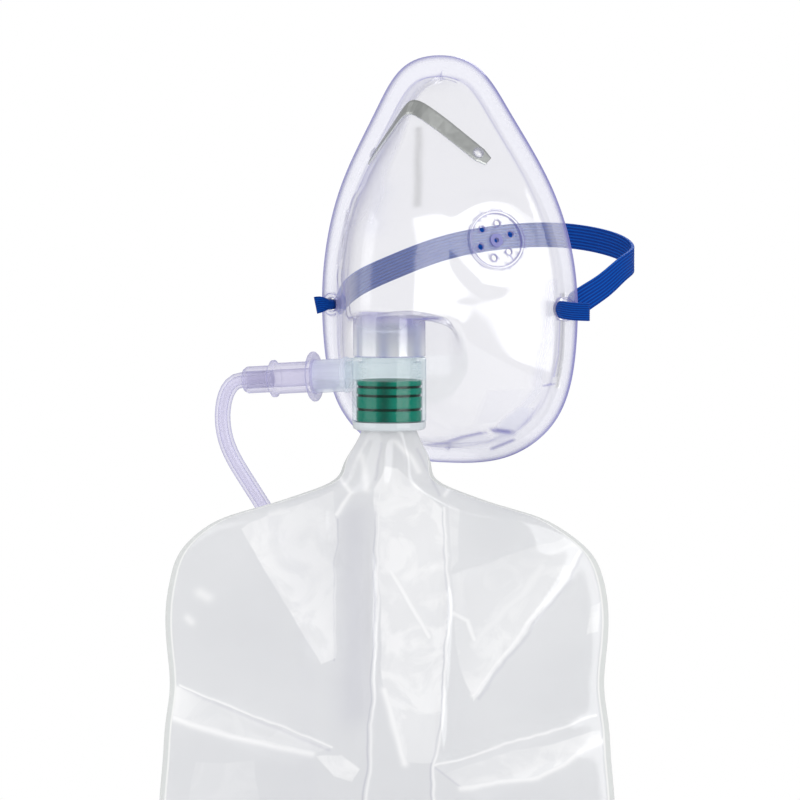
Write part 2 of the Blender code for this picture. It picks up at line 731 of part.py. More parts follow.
def make_nose_clip(mat):
    """Flat strip laid over the nose a small gap off the wall, with a hole at each end."""
    reach = CLIP_HOLE_X + CLIP_END * 0.62
    xs = np.concatenate([np.linspace(-reach, -4 * MM, 9), np.linspace(-2.6 * MM, 2.6 * MM, 5)])
    xs = np.concatenate([xs, np.linspace(4 * MM, reach, 9)])
    points = []
    normals = []
    for x in xs:
        point, normal, _, _ = surface_frame(*locate(x, clip_line(np.array([x]))[0]))
        normals.append(normal)
        points.append(point + normal * (GAP + CLIP_THICKNESS / 2.0))
    points = np.array(points)
    normals = unit(np.array(normals))
    along = unit(np.gradient(points, axis=0))
    normals = unit(normals - np.sum(normals * along, axis=1, keepdims=True) * along)
    wide = np.cross(normals, along)
    half = np.full(len(xs), CLIP_WIDTH / 2.0)
    half[[0, -1]] = CLIP_WIDTH * 0.30
    half[[1, -2]] = CLIP_WIDTH * 0.49
    thick = np.full(len(xs), CLIP_THICKNESS / 2.0)
    clip = sweep("nose_clip", points, wide, normals, half, thick, 8, mat, 6.0)
    for side in (1.0, -1.0):
        point, normal, _, _ = surface_frame(*locate(side * CLIP_HOLE_X, CLIP_HOLE_Z))
        start = Vector(point - normal * 2.0 * MM)
        end = Vector(point + normal * 4.0 * MM)
        combine(clip, rod("clip_hole", CLIP_HOLE_RADIUS, start, end, 16, mat), "DIFFERENCE")
    tidy_mesh(clip)
    shade(clip)


def strap_route():
    """Points of the strap's middle line, from its right tail round the back to its left tail."""
    eye = eye_place(1.0)
    mid = eye.y + (WALL - EYE_PROUD) / 2.0
    back = STRAP_SPAN_BACK
    return (
        (eye.x + 14.0 * MM, mid - 7.0 * MM, eye.z - 0.6 * MM),
        (eye.x + 7.0 * MM, mid - 7.4 * MM, eye.z - 0.4 * MM),
        (eye.x + 2.2 * MM, mid - 5.6 * MM, eye.z),
        (eye.x, mid - 2.4 * MM, eye.z),
        (eye.x, mid, eye.z),
        (eye.x, mid + 2.4 * MM, eye.z),
        (eye.x + 2.6 * MM, mid + 6.2 * MM, eye.z + 2.5 * MM),
        (eye.x + 6.8 * MM, 0.28 * back, eye.z + 7.7 * MM),
        (eye.x + 8.2 * MM, 0.48 * back, eye.z + 13.1 * MM),
        (eye.x + 5.2 * MM, 0.72 * back, eye.z + 16.2 * MM),
        (eye.x - 3.6 * MM, 0.90 * back, eye.z + 19.4 * MM),
        (eye.x - 16.6 * MM, 1.00 * back, eye.z + 22.2 * MM),
        (14.0 * MM, 1.01 * back, eye.z + 24.0 * MM),
        (-6.0 * MM, 0.94 * back, eye.z + 23.3 * MM),
        (-28.0 * MM, 0.77 * back, eye.z + 18.8 * MM),
        (-eye.x + 4.6 * MM, 0.58 * back, eye.z + 12.1 * MM),
        (-eye.x - 3.0 * MM, 0.34 * back, eye.z + 5.6 * MM),
        (-eye.x - 2.6 * MM, 0.19 * back, eye.z + 1.7 * MM),
        (-eye.x, mid + 2.6 * MM, eye.z),
        (-eye.x, mid, eye.z),
        (-eye.x, mid - 2.4 * MM, eye.z),
        (-eye.x - 1.8 * MM, mid - 5.2 * MM, eye.z),
        (-eye.x - 5.4 * MM, mid - 6.4 * MM, eye.z - 0.3 * MM),
    )


def make_strap(mat):
    """Flat elastic band, drawn together where it passes through each strap eye."""
    route = np.array(strap_route())
    knots = chord_knots(route)
    at = np.linspace(0.0, knots[-1], STRAP_STEPS)
    holes = (knots[4], knots[19])
    fine = [h + d * MM for h in holes for d in (-2.6, -1.3, 0.0, 1.3, 2.6)]
    at = np.unique(np.concatenate([at, fine]))
    centres = smooth_line(knots, route, at)
    along = unit(smooth_line(knots, route, np.minimum(at + 1e-4, knots[-1] + 1e-4)) - centres)
    up = np.array([0.0, 0.0, 1.0])
    wide = unit(up - (along @ up)[:, None] * along)
    thick = np.cross(along, wide)
    pinch = np.zeros(len(at))
    for hole in holes:
        away = np.maximum(np.abs(at - hole) - 2.4 * MM, 0.0)
        pinch = np.maximum(pinch, np.exp(-((away / (3.0 * MM)) ** 2)))
    loose = (at < holes[0]) | (at > holes[1])
    full = np.where(loose, STRAP_TAIL_WIDTH, STRAP_WIDTH) / 2.0
    half_wide = full + (STRAP_PINCH - full) * pinch
    half_thick = STRAP_THICKNESS / 2.0 + (STRAP_PINCH - STRAP_THICKNESS / 2.0) * pinch
    sweep("elastic_strap", centres, wide, thick, half_wide, half_thick, 10, mat, 3.0)


def side_frame(distance):
    """Frame on the side port's axis, its Z pointing away from the connector."""
    flat = math.cos(SIDE_DROOP)
    axis = Vector((math.cos(SIDE_ANGLE) * flat, math.sin(SIDE_ANGLE) * flat, -math.sin(SIDE_DROOP)))
    origin = PORT_AXIS + Vector((0.0, 0.0, SIDE_HEIGHT)) + axis * distance
    return frame_at(origin, axis, (0.0, 0.0, 1.0))


def make_tee(mat):
    """Clear connector: top spigot with the valve seat, ribbed body, skirt and side port."""
    band_top = TEE_BOTTOM + BAND_LENGTH
    lip = 0.5 * MM
    profile = [
        (TEE_SPIGOT_BORE, SPIGOT_TOP),
        (SPIGOT_RADIUS - lip, SPIGOT_TOP),
        (SPIGOT_RADIUS, SPIGOT_TOP - lip),
        (SPIGOT_RADIUS, TEE_TOP),
        (TEE_RADIUS - lip, TEE_TOP),
        (TEE_RADIUS, TEE_TOP - lip),
        (TEE_RADIUS, TEE_BOTTOM),
        (SKIRT_BORE, TEE_BOTTOM),
    ]
    for k in range(TEE_RIBS):
        z = band_top + GAP + k * TEE_RIB_PITCH
        profile.append((SKIRT_BORE, z))
        profile.append((SKIRT_BORE - TEE_RIB_PROUD, z + 0.3 * TEE_RIB_PITCH))
        profile.append((SKIRT_BORE, z + 0.6 * TEE_RIB_PITCH))
    profile.append((SKIRT_BORE, TEE_TOP - TEE_SHOULDER))
    profile.append((TEE_SPIGOT_BORE, TEE_TOP - TEE_SHOULDER))
    place = Matrix.Translation(PORT_AXIS)
    tee = turned("tee_connector", profile, TEE_ROUND_SIDES, mat, place)
    port = side_frame(0.0)
    inner = SIDE_RADIUS - SIDE_WALL
    collar = SIDE_RADIUS + SIDE_COLLAR
    tube = (
        (inner, SIDE_START),
        (SIDE_RADIUS, SIDE_START),
        (SIDE_RADIUS, SIDE_COLLAR_AT),
        (collar, SIDE_COLLAR_AT + 0.4 * MM),
        (collar, SIDE_COLLAR_AT + 1.4 * MM),
        (SIDE_RADIUS, SIDE_COLLAR_AT + 1.8 * MM),
        (SIDE_RADIUS, SIDE_REACH - lip),
        (SIDE_RADIUS - lip, SIDE_REACH),
        (inner, SIDE_REACH),
    )
    side = turned("side_port", tube, 24, mat, port)
    saddle_low = PORT_AXIS + Vector((0.0, 0.0, TEE_BOTTOM))
    saddle_high = PORT_AXIS + Vector((0.0, 0.0, SPIGOT_TOP))
    saddle = TEE_RADIUS - 0.6 * TEE_SKIRT_WALL
    combine(side, rod("saddle", saddle, saddle_low, saddle_high, 48, mat), "DIFFERENCE")
    combine(tee, side, "UNION")
    bore_start = port @ Vector((0.0, 0.0, SKIRT_BORE - 3.0 * MM))
    bore_end = port @ Vector((0.0, 0.0, SIDE_REACH - 3.0 * MM))
    combine(tee, rod("side_bore", SIDE_MOUTH, bore_start, bore_end, 16, mat), "DIFFERENCE")
    seat_z = SPIGOT_TOP - VALVE_DROP
    hub_low = PORT_AXIS + Vector((0.0, 0.0, seat_z - VALVE_SEAT_HEIGHT))
    hub_high = PORT_AXIS + Vector((0.0, 0.0, seat_z))
    combine(tee, rod("hub", VALVE_HUB_RADIUS, hub_low, hub_high, 12, mat), "UNION")
    for k in range(VALVE_SPOKES):
        turn = 2.0 * math.pi * (k + 0.25) / VALVE_SPOKES
        reach = TEE_SPIGOT_BORE + 0.5 * MM
        spoke = box_between("spoke", 0.5 * VALVE_HUB_RADIUS, reach, VALVE_SPOKE_WIDTH, mat)
        lift = Matrix.Translation(hub_low + Vector((0.0, 0.0, 0.1 * MM)))
        spoke.data.transform(lift @ Matrix.Rotation(turn, 4, "Z"))
        combine(tee, spoke, "UNION")
    pin_end = hub_high + Vector((0.0, 0.0, VALVE_PIN_HEIGHT))
    pin_start = hub_low + Vector((0.0, 0.0, 0.5 * VALVE_SEAT_HEIGHT))
    combine(tee, rod("pin", VALVE_PIN_RADIUS, pin_start, pin_end, 10, mat), "UNION")
    tidy_mesh(tee)
    shade(tee)


def box_between(name, x0, x1, width, mat):
    """Upright bar along X, as high as the valve seat."""
    half = width / 2.0
    top = VALVE_SEAT_HEIGHT - 0.2 * MM
    corners = [(x, y, z) for x in (x0, x1) for y in (-half, half) for z in (0.0, top)]
    faces = [(0, 1, 3, 2), (4, 6, 7, 5), (0, 4, 5, 1), (2, 3, 7, 6), (0, 2, 6, 4), (1, 5, 7, 3)]
    obj = add_mesh(name, corners, faces, mat)
    face_outward(obj)
    return obj


def make_valve_flap(mat):
    """Thin soft disc that lies on the spokes round the centre pin."""
    low = SPIGOT_TOP - VALVE_DROP + GAP
    bore = VALVE_PIN_RADIUS + GAP
    profile = (
        (bore, low),
        (FLAP_RADIUS, low),
        (FLAP_RADIUS, low + 0.6 * FLAP_THICKNESS),
        (bore, low + FLAP_THICKNESS),
    )
    turned("valve_flap", profile, 28, mat, Matrix.Translation(PORT_AXIS))


def make_green_band(mat):
    """Sleeve inside the skirt, with shallow grooves round its outer face."""
    top = TEE_BOTTOM + BAND_LENGTH
    profile = [(BAND_BORE, TEE_BOTTOM), (BAND_OUTER, TEE_BOTTOM)]
    for share in BAND_GROOVE_SHARES[::-1]:
        z = top - share * BAND_LENGTH
        profile.append((BAND_OUTER, z - BAND_GROOVE_WIDTH / 2.0))
        profile.append((BAND_OUTER - BAND_GROOVE_DEPTH, z - BAND_GROOVE_WIDTH / 4.0))
        profile.append((BAND_OUTER - BAND_GROOVE_DEPTH, z + BAND_GROOVE_WIDTH / 4.0))
        profile.append((BAND_OUTER, z + BAND_GROOVE_WIDTH / 2.0))
    profile.append((BAND_OUTER, top))
    profile.append((BAND_BORE, top))
    turned("green_band", profile, TEE_ROUND_SIDES, mat, Matrix.Translation(PORT_AXIS))


def make_bag_ring(mat):
    """Ring under the skirt with a rounded lower edge, round the bag's neck."""
    curve = 1.1 * MM
    profile = (
        (RING_BORE, RING_TOP),
        (RING_RADIUS, RING_TOP),
        (RING_RADIUS, RING_BOTTOM + curve),
        (RING_RADIUS - 0.3 * curve, RING_BOTTOM + 0.3 * curve),
        (RING_RADIUS - curve, RING_BOTTOM),
        (RING_BORE + 0.3 * MM, RING_BOTTOM),
        (RING_BORE, RING_BOTTOM + 0.3 * MM),
    )
    turned("bag_retaining_ring", profile, TEE_ROUND_SIDES, mat, Matrix.Translation(PORT_AXIS))


def make_adaptor(mat):
    """Soft adaptor pushed on the side port: flange, body, collar and end, with a stem inside."""
    stem = SIDE_RADIUS - SIDE_WALL - GAP
    bore = TUBE_RADIUS + GAP
    face = SIDE_REACH + GAP
    deep = face + ADAPTOR_FLANGE_LENGTH
    end = face + ADAPTOR_LENGTH
    collar = face + ADAPTOR_COLLAR_AT
    curve = 0.5 * MM
    profile = (
        (stem - 1.2 * MM, face - STEM_LENGTH),
        (stem, face - STEM_LENGTH),
        (stem, face),
        (SIDE_RADIUS + GAP, face),
        (SIDE_RADIUS + GAP, face - FLANGE_OVERLAP),
        (ADAPTOR_FLANGE_RADIUS - curve, face - FLANGE_OVERLAP),
        (ADAPTOR_FLANGE_RADIUS, face - FLANGE_OVERLAP + curve),
        (ADAPTOR_FLANGE_RADIUS, deep - FLANGE_OVERLAP - curve),
        (ADAPTOR_FLANGE_RADIUS - curve, deep - FLANGE_OVERLAP),
        (ADAPTOR_BODY_RADIUS, deep - FLANGE_OVERLAP + 0.4 * MM),
        (ADAPTOR_BODY_RADIUS, collar - 0.9 * MM),
        (ADAPTOR_RING_RADIUS, collar - 0.4 * MM),
        (ADAPTOR_RING_RADIUS, collar + 0.6 * MM),
        (ADAPTOR_END_RADIUS, collar + 1.6 * MM),
        (ADAPTOR_END_RADIUS, end - 1.2 * MM),
        (ADAPTOR_END_RADIUS - 0.8 * MM, end),
        (bore, end),
        (bore, end - TUBE_SEAT),
        (stem - 1.2 * MM, end - TUBE_SEAT),
    )
    turned("tube_adaptor", profile, ADAPTOR_SIDES, mat, side_frame(0.0))


def bag_point(across, behind, z):
    """World point from the bag's own axes: across its width, behind its plane, height."""
    cos_turn = math.cos(BAG_TURN)
    sin_turn = math.sin(BAG_TURN)
    x = across * cos_turn - behind * sin_turn
    y = across * sin_turn + behind * cos_turn
    return np.stack([x, y - PORT_FORWARD, z + 0.0 * x], axis=-1)


def bag_half_width(drop):
    """Half width of the bag at a drop below the ring, through its shoulders to the foot."""
    full = BAG_HALF_WIDTH
    stations = (
        (0.0, NECK_RADIUS),
        (5.0 * MM, NECK_RADIUS + 2.4 * MM),
        (12.0 * MM, NECK_RADIUS + 5.8 * MM),
        (18.0 * MM, 0.25 * full),
        (22.0 * MM, 0.38 * full),
        (25.5 * MM, 0.52 * full),
        (29.0 * MM, 0.68 * full),
        (34.0 * MM, 0.815 * full),
        (41.0 * MM, 0.922 * full),
        (50.0 * MM, 0.978 * full),
        (62.0 * MM, 1.003 * full),
        (76.0 * MM, 0.995 * full),
        (88.0 * MM, 0.985 * full),
        (100.0 * MM, 1.005 * full),
        (112.0 * MM, 1.017 * full),
        (126.0 * MM, 1.033 * full),
        (180.0 * MM, 1.0 * full),
        (BAG_DROP - 22.0 * MM, 0.985 * full),
        (BAG_DROP - 8.0 * MM, 0.93 * full),
        (BAG_DROP, 0.80 * full),
    )
    knots = [row[0] for row in stations]
    return smooth_line(knots, [[row[1]] for row in stations], drop)[:, 0]


def bag_centre(drop):
    """Sideways drift of the bag's middle: its left shoulder hangs a little lower."""
    shoulder = np.exp(-(((drop - 30.0 * MM) / (12.0 * MM)) ** 2))
    return -0.8 * MM * smoothstep(drop / (20.0 * MM)) - 1.7 * MM * shoulder


BAG_CREASES = (
    (-17.0, 24.0, -15.5, 50.0, 2.0, 2.2),
    (-5.5, 30.0, -8.0, 126.0, 2.2, 2.4),
    (20.5, 28.0, 15.5, 126.0, 2.2, 2.4),
    (-50.0, 33.0, -19.5, 78.0, 2.6, 6.0),
    (-71.0, 87.5, -19.0, 107.0, 1.8, 2.2),
    (-72.0, 98.0, -26.0, 110.0, 1.8, 3.0),
    (20.0, 49.0, 59.0, 37.0, 2.4, 5.0),
    (28.0, 90.0, 65.0, 40.0, 2.4, 2.6),
    (17.0, 113.0, 70.0, 97.0, 2.2, 2.4),
    (26.0, 122.0, 73.0, 106.0, 2.0, 3.6),
    (-60.0, 170.0, -10.0, 140.0, 1.8, 4.0),
    (12.0, 150.0, 66.0, 185.0, 1.8, 4.0),
    (-66.0, 215.0, 60.0, 205.0, 1.6, 4.0),
)


def bag_relief(across, drop):
    """Height of the film's creases: for each, a crest that falls off to both sides and ends."""
    relief = np.zeros(np.broadcast(across, drop).shape)
    for x0, d0, x1, d1, height, width in BAG_CREASES:
        start = np.array([x0, d0]) * MM
        span = np.array([x1 - x0, d1 - d0]) * MM
        length = np.hypot(*span)
        run = ((across - start[0]) * span[0] + (drop - start[1]) * span[1]) / length**2
        off = ((across - start[0]) * span[1] - (drop - start[1]) * span[0]) / length
        ends = smoothstep((run + 0.05) / 0.25) * smoothstep((1.05 - run) / 0.25)
        relief = relief + height * MM * ends * np.exp(-np.abs(off) / (width * MM))
    return relief


def bag_layer(front, inner, xi, drop):
    """One film layer: xi runs from weld to weld, drop from the neck's top to the foot."""
    under = np.maximum(drop, 0.0)
    width = bag_half_width(under)
    weld = BAG_WELD * smoothstep((drop - 4.0 * MM) / (16.0 * MM))
    foot = np.clip((BAG_DROP - drop) / (30.0 * MM), 0.0, 1.0)
    depth = BAG_HALF_DEPTH + (NECK_RADIUS - BAG_HALF_DEPTH) * (1.0 - smoothstep(drop / (26 * MM)))
    depth = depth * np.sqrt(1.0 - (1.0 - foot) ** 2)
    film = BAG_FILM if inner else 0.0
    open_half = width - weld - film
    reach = open_half if inner else width
    across = reach[:, None] * xi[None, :]
    share = np.minimum(np.abs(across) / open_half[:, None], 1.0)
    round_share = (1.0 - smoothstep(drop / (40.0 * MM)))[:, None]
    circle = np.sqrt(1.0 - share**2)
    pillow = (1.0 - share**2) ** 0.8
    bulge = (circle * round_share + pillow * (1.0 - round_share)) * (depth[:, None] - film)
    gather = smoothstep(drop / (6.0 * MM)) * (1.0 - smoothstep((drop - 14 * MM) / (26 * MM)))
    ripple = 0.07 * gather[:, None] * np.cos(9.0 * np.arccos(np.clip(xi, -1, 1)))[None, :] * circle
    bulge = bulge - NECK_RADIUS * ripple
    live = pillow * foot[:, None] ** 0.5 * smoothstep((drop - 20 * MM) / (14 * MM))[:, None]
    crease = bag_relief(across, drop[:, None]) * live
    least = BAG_FILM / 2.0 if inner else BAG_FILM
    half = np.maximum(bulge, least)
    if front:
        behind = -half - crease
    else:
        behind = half - 0.4 * crease
    drift = bag_centre(under)[:, None]
    return bag_point(across + drift, behind, RING_BOTTOM - drop[:, None])


def make_bag(mat):
    """Thin film envelope: an outer and an inner skin joined at the open neck, welded round."""
    half = BAG_COLUMNS // 2
    xi = -np.cos(np.linspace(0.0, math.pi, half + 1))
    top = RING_LENGTH + GAP + BAG_NECK_INSIDE
    high = np.array([-top, -0.5 * top, 0.0])
    drop = np.concatenate([high, np.linspace(0.0, 1.0, BAG_ROWS)[1:] ** 1.35 * BAG_DROP])
    rings = []
    for inner in (False, True):
        rows = drop.copy()
        if inner:
            rows[-1] = BAG_DROP - BAG_WELD
        front = bag_layer(True, inner, xi, rows)
        back = bag_layer(False, inner, xi, rows)
        rings.append(np.concatenate([front, back[:, ::-1]], axis=1))
    verts = np.concatenate([rings[0].reshape(-1, 3), rings[1].reshape(-1, 3)])
    rows_count, count = rings[0].shape[:2]
    shift = rows_count * count
    faces = []
    for base in (0, shift):
        for i in range(rows_count - 1):
            for k in range(count):
                m = (k + 1) % count
                a, b = base + i * count + k, base + i * count + m
                faces.append((a, b, b + count, a + count))
        foot = base + (rows_count - 1) * count
        for k in range(half):
            a, b = foot + k, foot + k + 1
            c, d = foot + count - 2 - k, foot + count - 1 - k
            faces.append((a, b, c, d))
    for k in range(count):
        m = (k + 1) % count
        faces.append((k, m, shift + m, shift + k))
    bag = add_mesh("reservoir_bag", verts, faces, mat)
    face_outward(bag)
    shade(bag)


def clear_of_coil(out, radius):
    """Height above or below the coil's centre at which a rod of that radius just clears it."""
    near = COIL_MEAN_RADIUS + out - radius
    return math.sqrt((COIL_MEAN_RADIUS + COIL_HALF_WIDTH + GAP) ** 2 - near**2)


def coil_centre():
    return COIL_ASIDE, COIL_BEHIND, RING_BOTTOM - COIL_DROP


def tube_route():
    """Hand-chosen points of the tube: across, behind and height, from the adaptor to the coil."""
    ahead = side_frame(0.0)
    end = SIDE_REACH + GAP + ADAPTOR_LENGTH
    points = [ahead @ Vector((0.0, 0.0, end + d * MM)) for d in (-10.0, -5.0, 0.0, 2.0)]
    coil_x, coil_y, coil_z = coil_centre()
    fall = coil_x - COIL_MEAN_RADIUS - COIL_ENTRY_OUT
    rows = (
        (-54.6 * MM, 16.2 * MM, -44.2 * MM),
        (-56.6 * MM, 17.2 * MM, -49.0 * MM),
        (-57.2 * MM, 18.0 * MM, -54.6 * MM),
        (-55.8 * MM, 18.6 * MM, -63.4 * MM),
        (-49.6 * MM, 19.2 * MM, -75.4 * MM),
        (-43.2 * MM, 20.0 * MM, -85.6 * MM),
        (-35.0 * MM, 21.6 * MM, -101.0 * MM),
        (-30.0 * MM, 23.6 * MM, -118.0 * MM),
        (0.3 * -30.0 * MM + 0.7 * fall, 25.0 * MM, -138.0 * MM),
        (fall, coil_y + COIL_LAYER, -160.0 * MM),
        (fall, coil_y + COIL_LAYER, -185.0 * MM),
        (fall, coil_y + COIL_LAYER, coil_z + clear_of_coil(COIL_ENTRY_OUT, TUBE_RADIUS)),
    )
    points += [Vector(bag_point(np.array(a), np.array(b), np.array(z))) for a, b, z in rows]
    return points


def make_tube(mat):
    """Tube of the stretch that isn't coiled, read from one smooth curve."""
    route = np.array(tube_route())
    knots = chord_knots(route)
    count = int(knots[-1] / (2.4 * 2.0 * TUBE_RADIUS)) + 1
    points = smooth_line(knots, route, np.linspace(0.0, knots[-1], count))
    curve = bpy.data.curves.new("oxygen_tube", "CURVE")
    curve.dimensions = "3D"
    curve.bevel_depth = TUBE_RADIUS
    curve.bevel_resolution = 2
    curve.use_fill_caps = True
    spline = curve.splines.new("POLY")
    spline.points.add(count - 1)
    for point, place in zip(spline.points, points):
        point.co = (*place, 1.0)
    curve.materials.append(mat)
    obj = bpy.data.objects.new("oxygen_tube", curve)
    bpy.context.scene.collection.objects.link(obj)


def coil_frame():
    """Frame at the coil's centre with Z towards the bag, X across it and Y upward."""
    across, behind, z = coil_centre()
    centre = bag_point(np.array(across), np.array(behind), np.array(z))
    axis = (math.sin(BAG_TURN), -math.cos(BAG_TURN), 0.0)
    return frame_at(centre, axis, (math.cos(BAG_TURN), math.sin(BAG_TURN), 0.0))


def make_coil(mat):
    """Ring round the stored turns: layers of three, two, three and two of them."""
    wide = COIL_HALF_WIDTH
    deep = COIL_HALF_DEPTH
    corner = 0.75
    profile = []
    for sx, sz in ((1, -1), (1, 1), (-1, 1), (-1, -1)):
        pair = [
            (COIL_MEAN_RADIUS + sx * wide, sz * deep * corner),
            (COIL_MEAN_RADIUS + sx * wide * 0.85, sz * deep),
        ]
        profile += pair if sx * sz > 0 else pair[::-1]
    turned("oxygen_tube_coil", profile, 48, mat, coil_frame())


def make_tie(mat):
    """Band wrapped once round the coil's section at its top."""
    hole_x = COIL_HALF_WIDTH + TIE_GAP
    hole_z = COIL_HALF_DEPTH + TIE_GAP
    out_x = hole_x + TIE_THICKNESS
    out_z = hole_z + TIE_THICKNESS
    squareness = 0.26
    turn = np.linspace(0.0, 2.0 * math.pi, 20, endpoint=False) + math.pi / 20
    c = np.sign(np.cos(turn)) * np.abs(np.cos(turn)) ** squareness
    s = np.sign(np.sin(turn)) * np.abs(np.sin(turn)) ** squareness
    loops = []
    for half_x, half_z in ((out_x, out_z), (hole_x, hole_z)):
        for x in (-TIE_WIDTH / 2.0, TIE_WIDTH / 2.0):
            y = COIL_MEAN_RADIUS + half_x * c
            loops.append(np.stack([np.full(20, x), y, half_z * s], axis=1))
    verts = np.concatenate(loops)
    faces = []
    for k in range(20):
        m = (k + 1) % 20
        for a, b in ((0, 20), (20, 60), (60, 40), (40, 0)):
            faces.append((a + k, a + m, b + m, b + k))
    tie = add_mesh("coil_tie", verts, faces, mat)
    tie.data.transform(coil_frame())
    face_outward(tie)
    shade(tie)


def make_tube_end(mat):
    """Flared push-on end, hanging where the last turn leaves the coil."""
    frame = coil_frame()
    drop = clear_of_coil(COIL_EXIT_OUT, END_NECK_RADIUS)
    top = frame @ Vector((-(COIL_MEAN_RADIUS + COIL_EXIT_OUT), -drop, COIL_LAYER))
    bore = TUBE_RADIUS + GAP
    profile = (
        (bore, 0.0),
        (END_NECK_RADIUS, 0.0),
        (END_NECK_RADIUS, 8.0 * MM),
        (END_RADIUS * 0.86, 14.0 * MM),
        (END_RADIUS * 0.90, END_LENGTH - 9.0 * MM),
        (END_RADIUS, END_LENGTH - 6.0 * MM),
        (END_RADIUS, END_LENGTH),
        (END_RADIUS - END_WALL, END_LENGTH),
        (END_RADIUS - END_WALL - 0.6 * MM, 15.0 * MM),
        (bore - 0.8 * MM, 12.0 * MM),
    )
    turned("tube_end_connector", profile, 20, mat, frame_at(top, (0.0, 0.0, -1.0), (1, 0, 0)))


def main():
    for obj in list(bpy.data.objects):
        bpy.data.objects.remove(obj)
    clear_vinyl = material("clear soft vinyl", (0.85, 0.85, 0.92), 0.12)
    rigid_clear = material("clear rigid plastic", (0.80, 0.88, 0.91), 0.08)
    lilac_vinyl = material("lilac soft vinyl", (0.66, 0.64, 0.85), 0.18)
    make_mask_shell(clear_vinyl)
    make_nose_clip(material("aluminium strip", (0.72, 0.73, 0.72), 0.35, 1.0))
    make_strap(material("blue elastic", (0.005, 0.08, 0.36), 0.8))
    make_tee(rigid_clear)
    make_valve_flap(material("soft silicone", (0.80, 0.82, 0.84), 0.35))
    make_green_band(material("green plastic", (0.0, 0.23, 0.15), 0.2))
    make_bag_ring(material("white clear plastic", (0.87, 0.88, 0.90), 0.2))
    make_bag(material("clear film", (0.83, 0.84, 0.85), 0.15))
    make_adaptor(lilac_vinyl)
    make_tube(lilac_vinyl)
    make_coil(lilac_vinyl)
    make_tie(material("white tie", (0.85, 0.85, 0.85), 0.6))
    make_tube_end(lilac_vinyl)


main()
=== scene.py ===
"""Looks of an oxygen face mask with a reservoir bag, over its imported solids.

Metres, +Z up. The mask's opening lies round the origin and faces +Y. Each piece is made at
the origin from a formula, and stands where its solid stands.
"""

import math
from functools import partial

import bmesh
import bpy
import numpy as np
from mathutils import Matrix, Vector


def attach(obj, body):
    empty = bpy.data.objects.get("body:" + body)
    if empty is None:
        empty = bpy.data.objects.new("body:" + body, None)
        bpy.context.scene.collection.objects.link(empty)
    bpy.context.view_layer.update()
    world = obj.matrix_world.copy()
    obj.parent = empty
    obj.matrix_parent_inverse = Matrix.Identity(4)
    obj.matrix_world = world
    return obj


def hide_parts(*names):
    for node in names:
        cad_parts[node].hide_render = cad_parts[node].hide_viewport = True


bl_info = {
    "name": "Oxygen mask looks",
    "version": (1, 0, 0),
    "blender": (4, 5, 0),
    "location": "View3D > Sidebar > Mask",
    "description": "Builds the visual pieces, materials and stage of an oxygen face mask",
    "category": "Object",
}

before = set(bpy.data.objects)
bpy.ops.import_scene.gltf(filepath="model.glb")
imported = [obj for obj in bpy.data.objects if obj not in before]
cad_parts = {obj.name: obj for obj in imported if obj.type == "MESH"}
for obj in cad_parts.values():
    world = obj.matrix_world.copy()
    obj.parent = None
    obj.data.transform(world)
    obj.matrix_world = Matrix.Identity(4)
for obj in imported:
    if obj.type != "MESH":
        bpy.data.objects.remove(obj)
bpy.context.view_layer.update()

MM = 0.001
GAP = 0.3 * MM
LATHE_SIDES = 96

# Mask shell: rim seen from the front, as shares of half its width and half its height
RIM_HALF_WIDTH = 52.3 * MM
RIM_HALF_HEIGHT = 69.3 * MM
RIM_STATIONS = (
    (0.0, 1.0), (0.255, 0.955), (0.51, 0.73), (0.825, 0.335), (0.982, -0.10),
    (0.982, -0.41), (0.84, -0.78), (0.46, -0.985), (0.0, -1.025),
)
RIM_LEAN = 0.082
RIM_LEAN_START = 18.0 * MM
FLANGE_WIDTH_TOP = 7.2 * MM
FLANGE_WIDTH_CHIN = 5.2 * MM
WALL = 1.3 * MM
RIM_ROWS = 96
SHELF_ROWS = tuple(0.5651 + 0.0046 * k for k in range(30))
WALL_COLUMNS = 34
FILLET_END = 0.42
FLANGE_MIDDLE = 0.72
POLE_SHARES = (0.3, FILLET_END, FLANGE_MIDDLE, 1.0)

# Mask shell: depths and shape of its middle line
NOSE_DEPTH = 51.4 * MM
CHIN_DEPTH = 21.0 * MM
SHELF_HEIGHT = -0.28 * RIM_HALF_HEIGHT
SHELF_ROUND = 2.6 * MM
NOSE_ROUNDNESS = 0.27
CHIN_SQUARENESS = 2.6
SHELF_SHARE = 0.28
SHELF_FADE = 0.27

# Port socket below the shelf
PORT_FORWARD = 36.6 * MM
PORT_BORE_RADIUS = 11.15 * MM
PORT_WALL = 1.1 * MM
PORT_LENGTH = 13.6 * MM

# Exhalation discs, one on each cheek
DISC_RADIUS = 10.2 * MM
DISC_RIM = 1.0 * MM
DISC_PROUD = 0.9 * MM
DISC_FLAT = 12.5 * MM
DISC_BLEND = 7.0 * MM
DISC_X = 0.591 * RIM_HALF_WIDTH
DISC_Z = 0.091 * RIM_HALF_HEIGHT
DISC_HOLES = 6
DISC_HOLE_RADIUS = 1.1 * MM
DISC_HOLE_CIRCLE = 6.0 * MM
DISC_CENTRE_HOLE = 0.9 * MM
DISC_CENTRE_BOSS = 2.2 * MM

# Strap eyes on the rim
EYE_HEIGHT = -0.247 * RIM_HALF_HEIGHT
EYE_INSET = 4.6 * MM
EYE_OUTER_RADIUS = 4.0 * MM
EYE_HOLE_RADIUS = 2.35 * MM
EYE_PROUD = 1.3 * MM

# Pegs that hold the nose clip
CLIP_THICKNESS = 0.7 * MM
CLIP_HOLE_X = 0.392 * RIM_HALF_WIDTH
CLIP_HOLE_Z = 0.5094 * RIM_HALF_HEIGHT
PEG_RADIUS = 1.15 * MM
PEG_HEAD_RADIUS = 1.9 * MM
PEG_HEAD_HEIGHT = 0.8 * MM

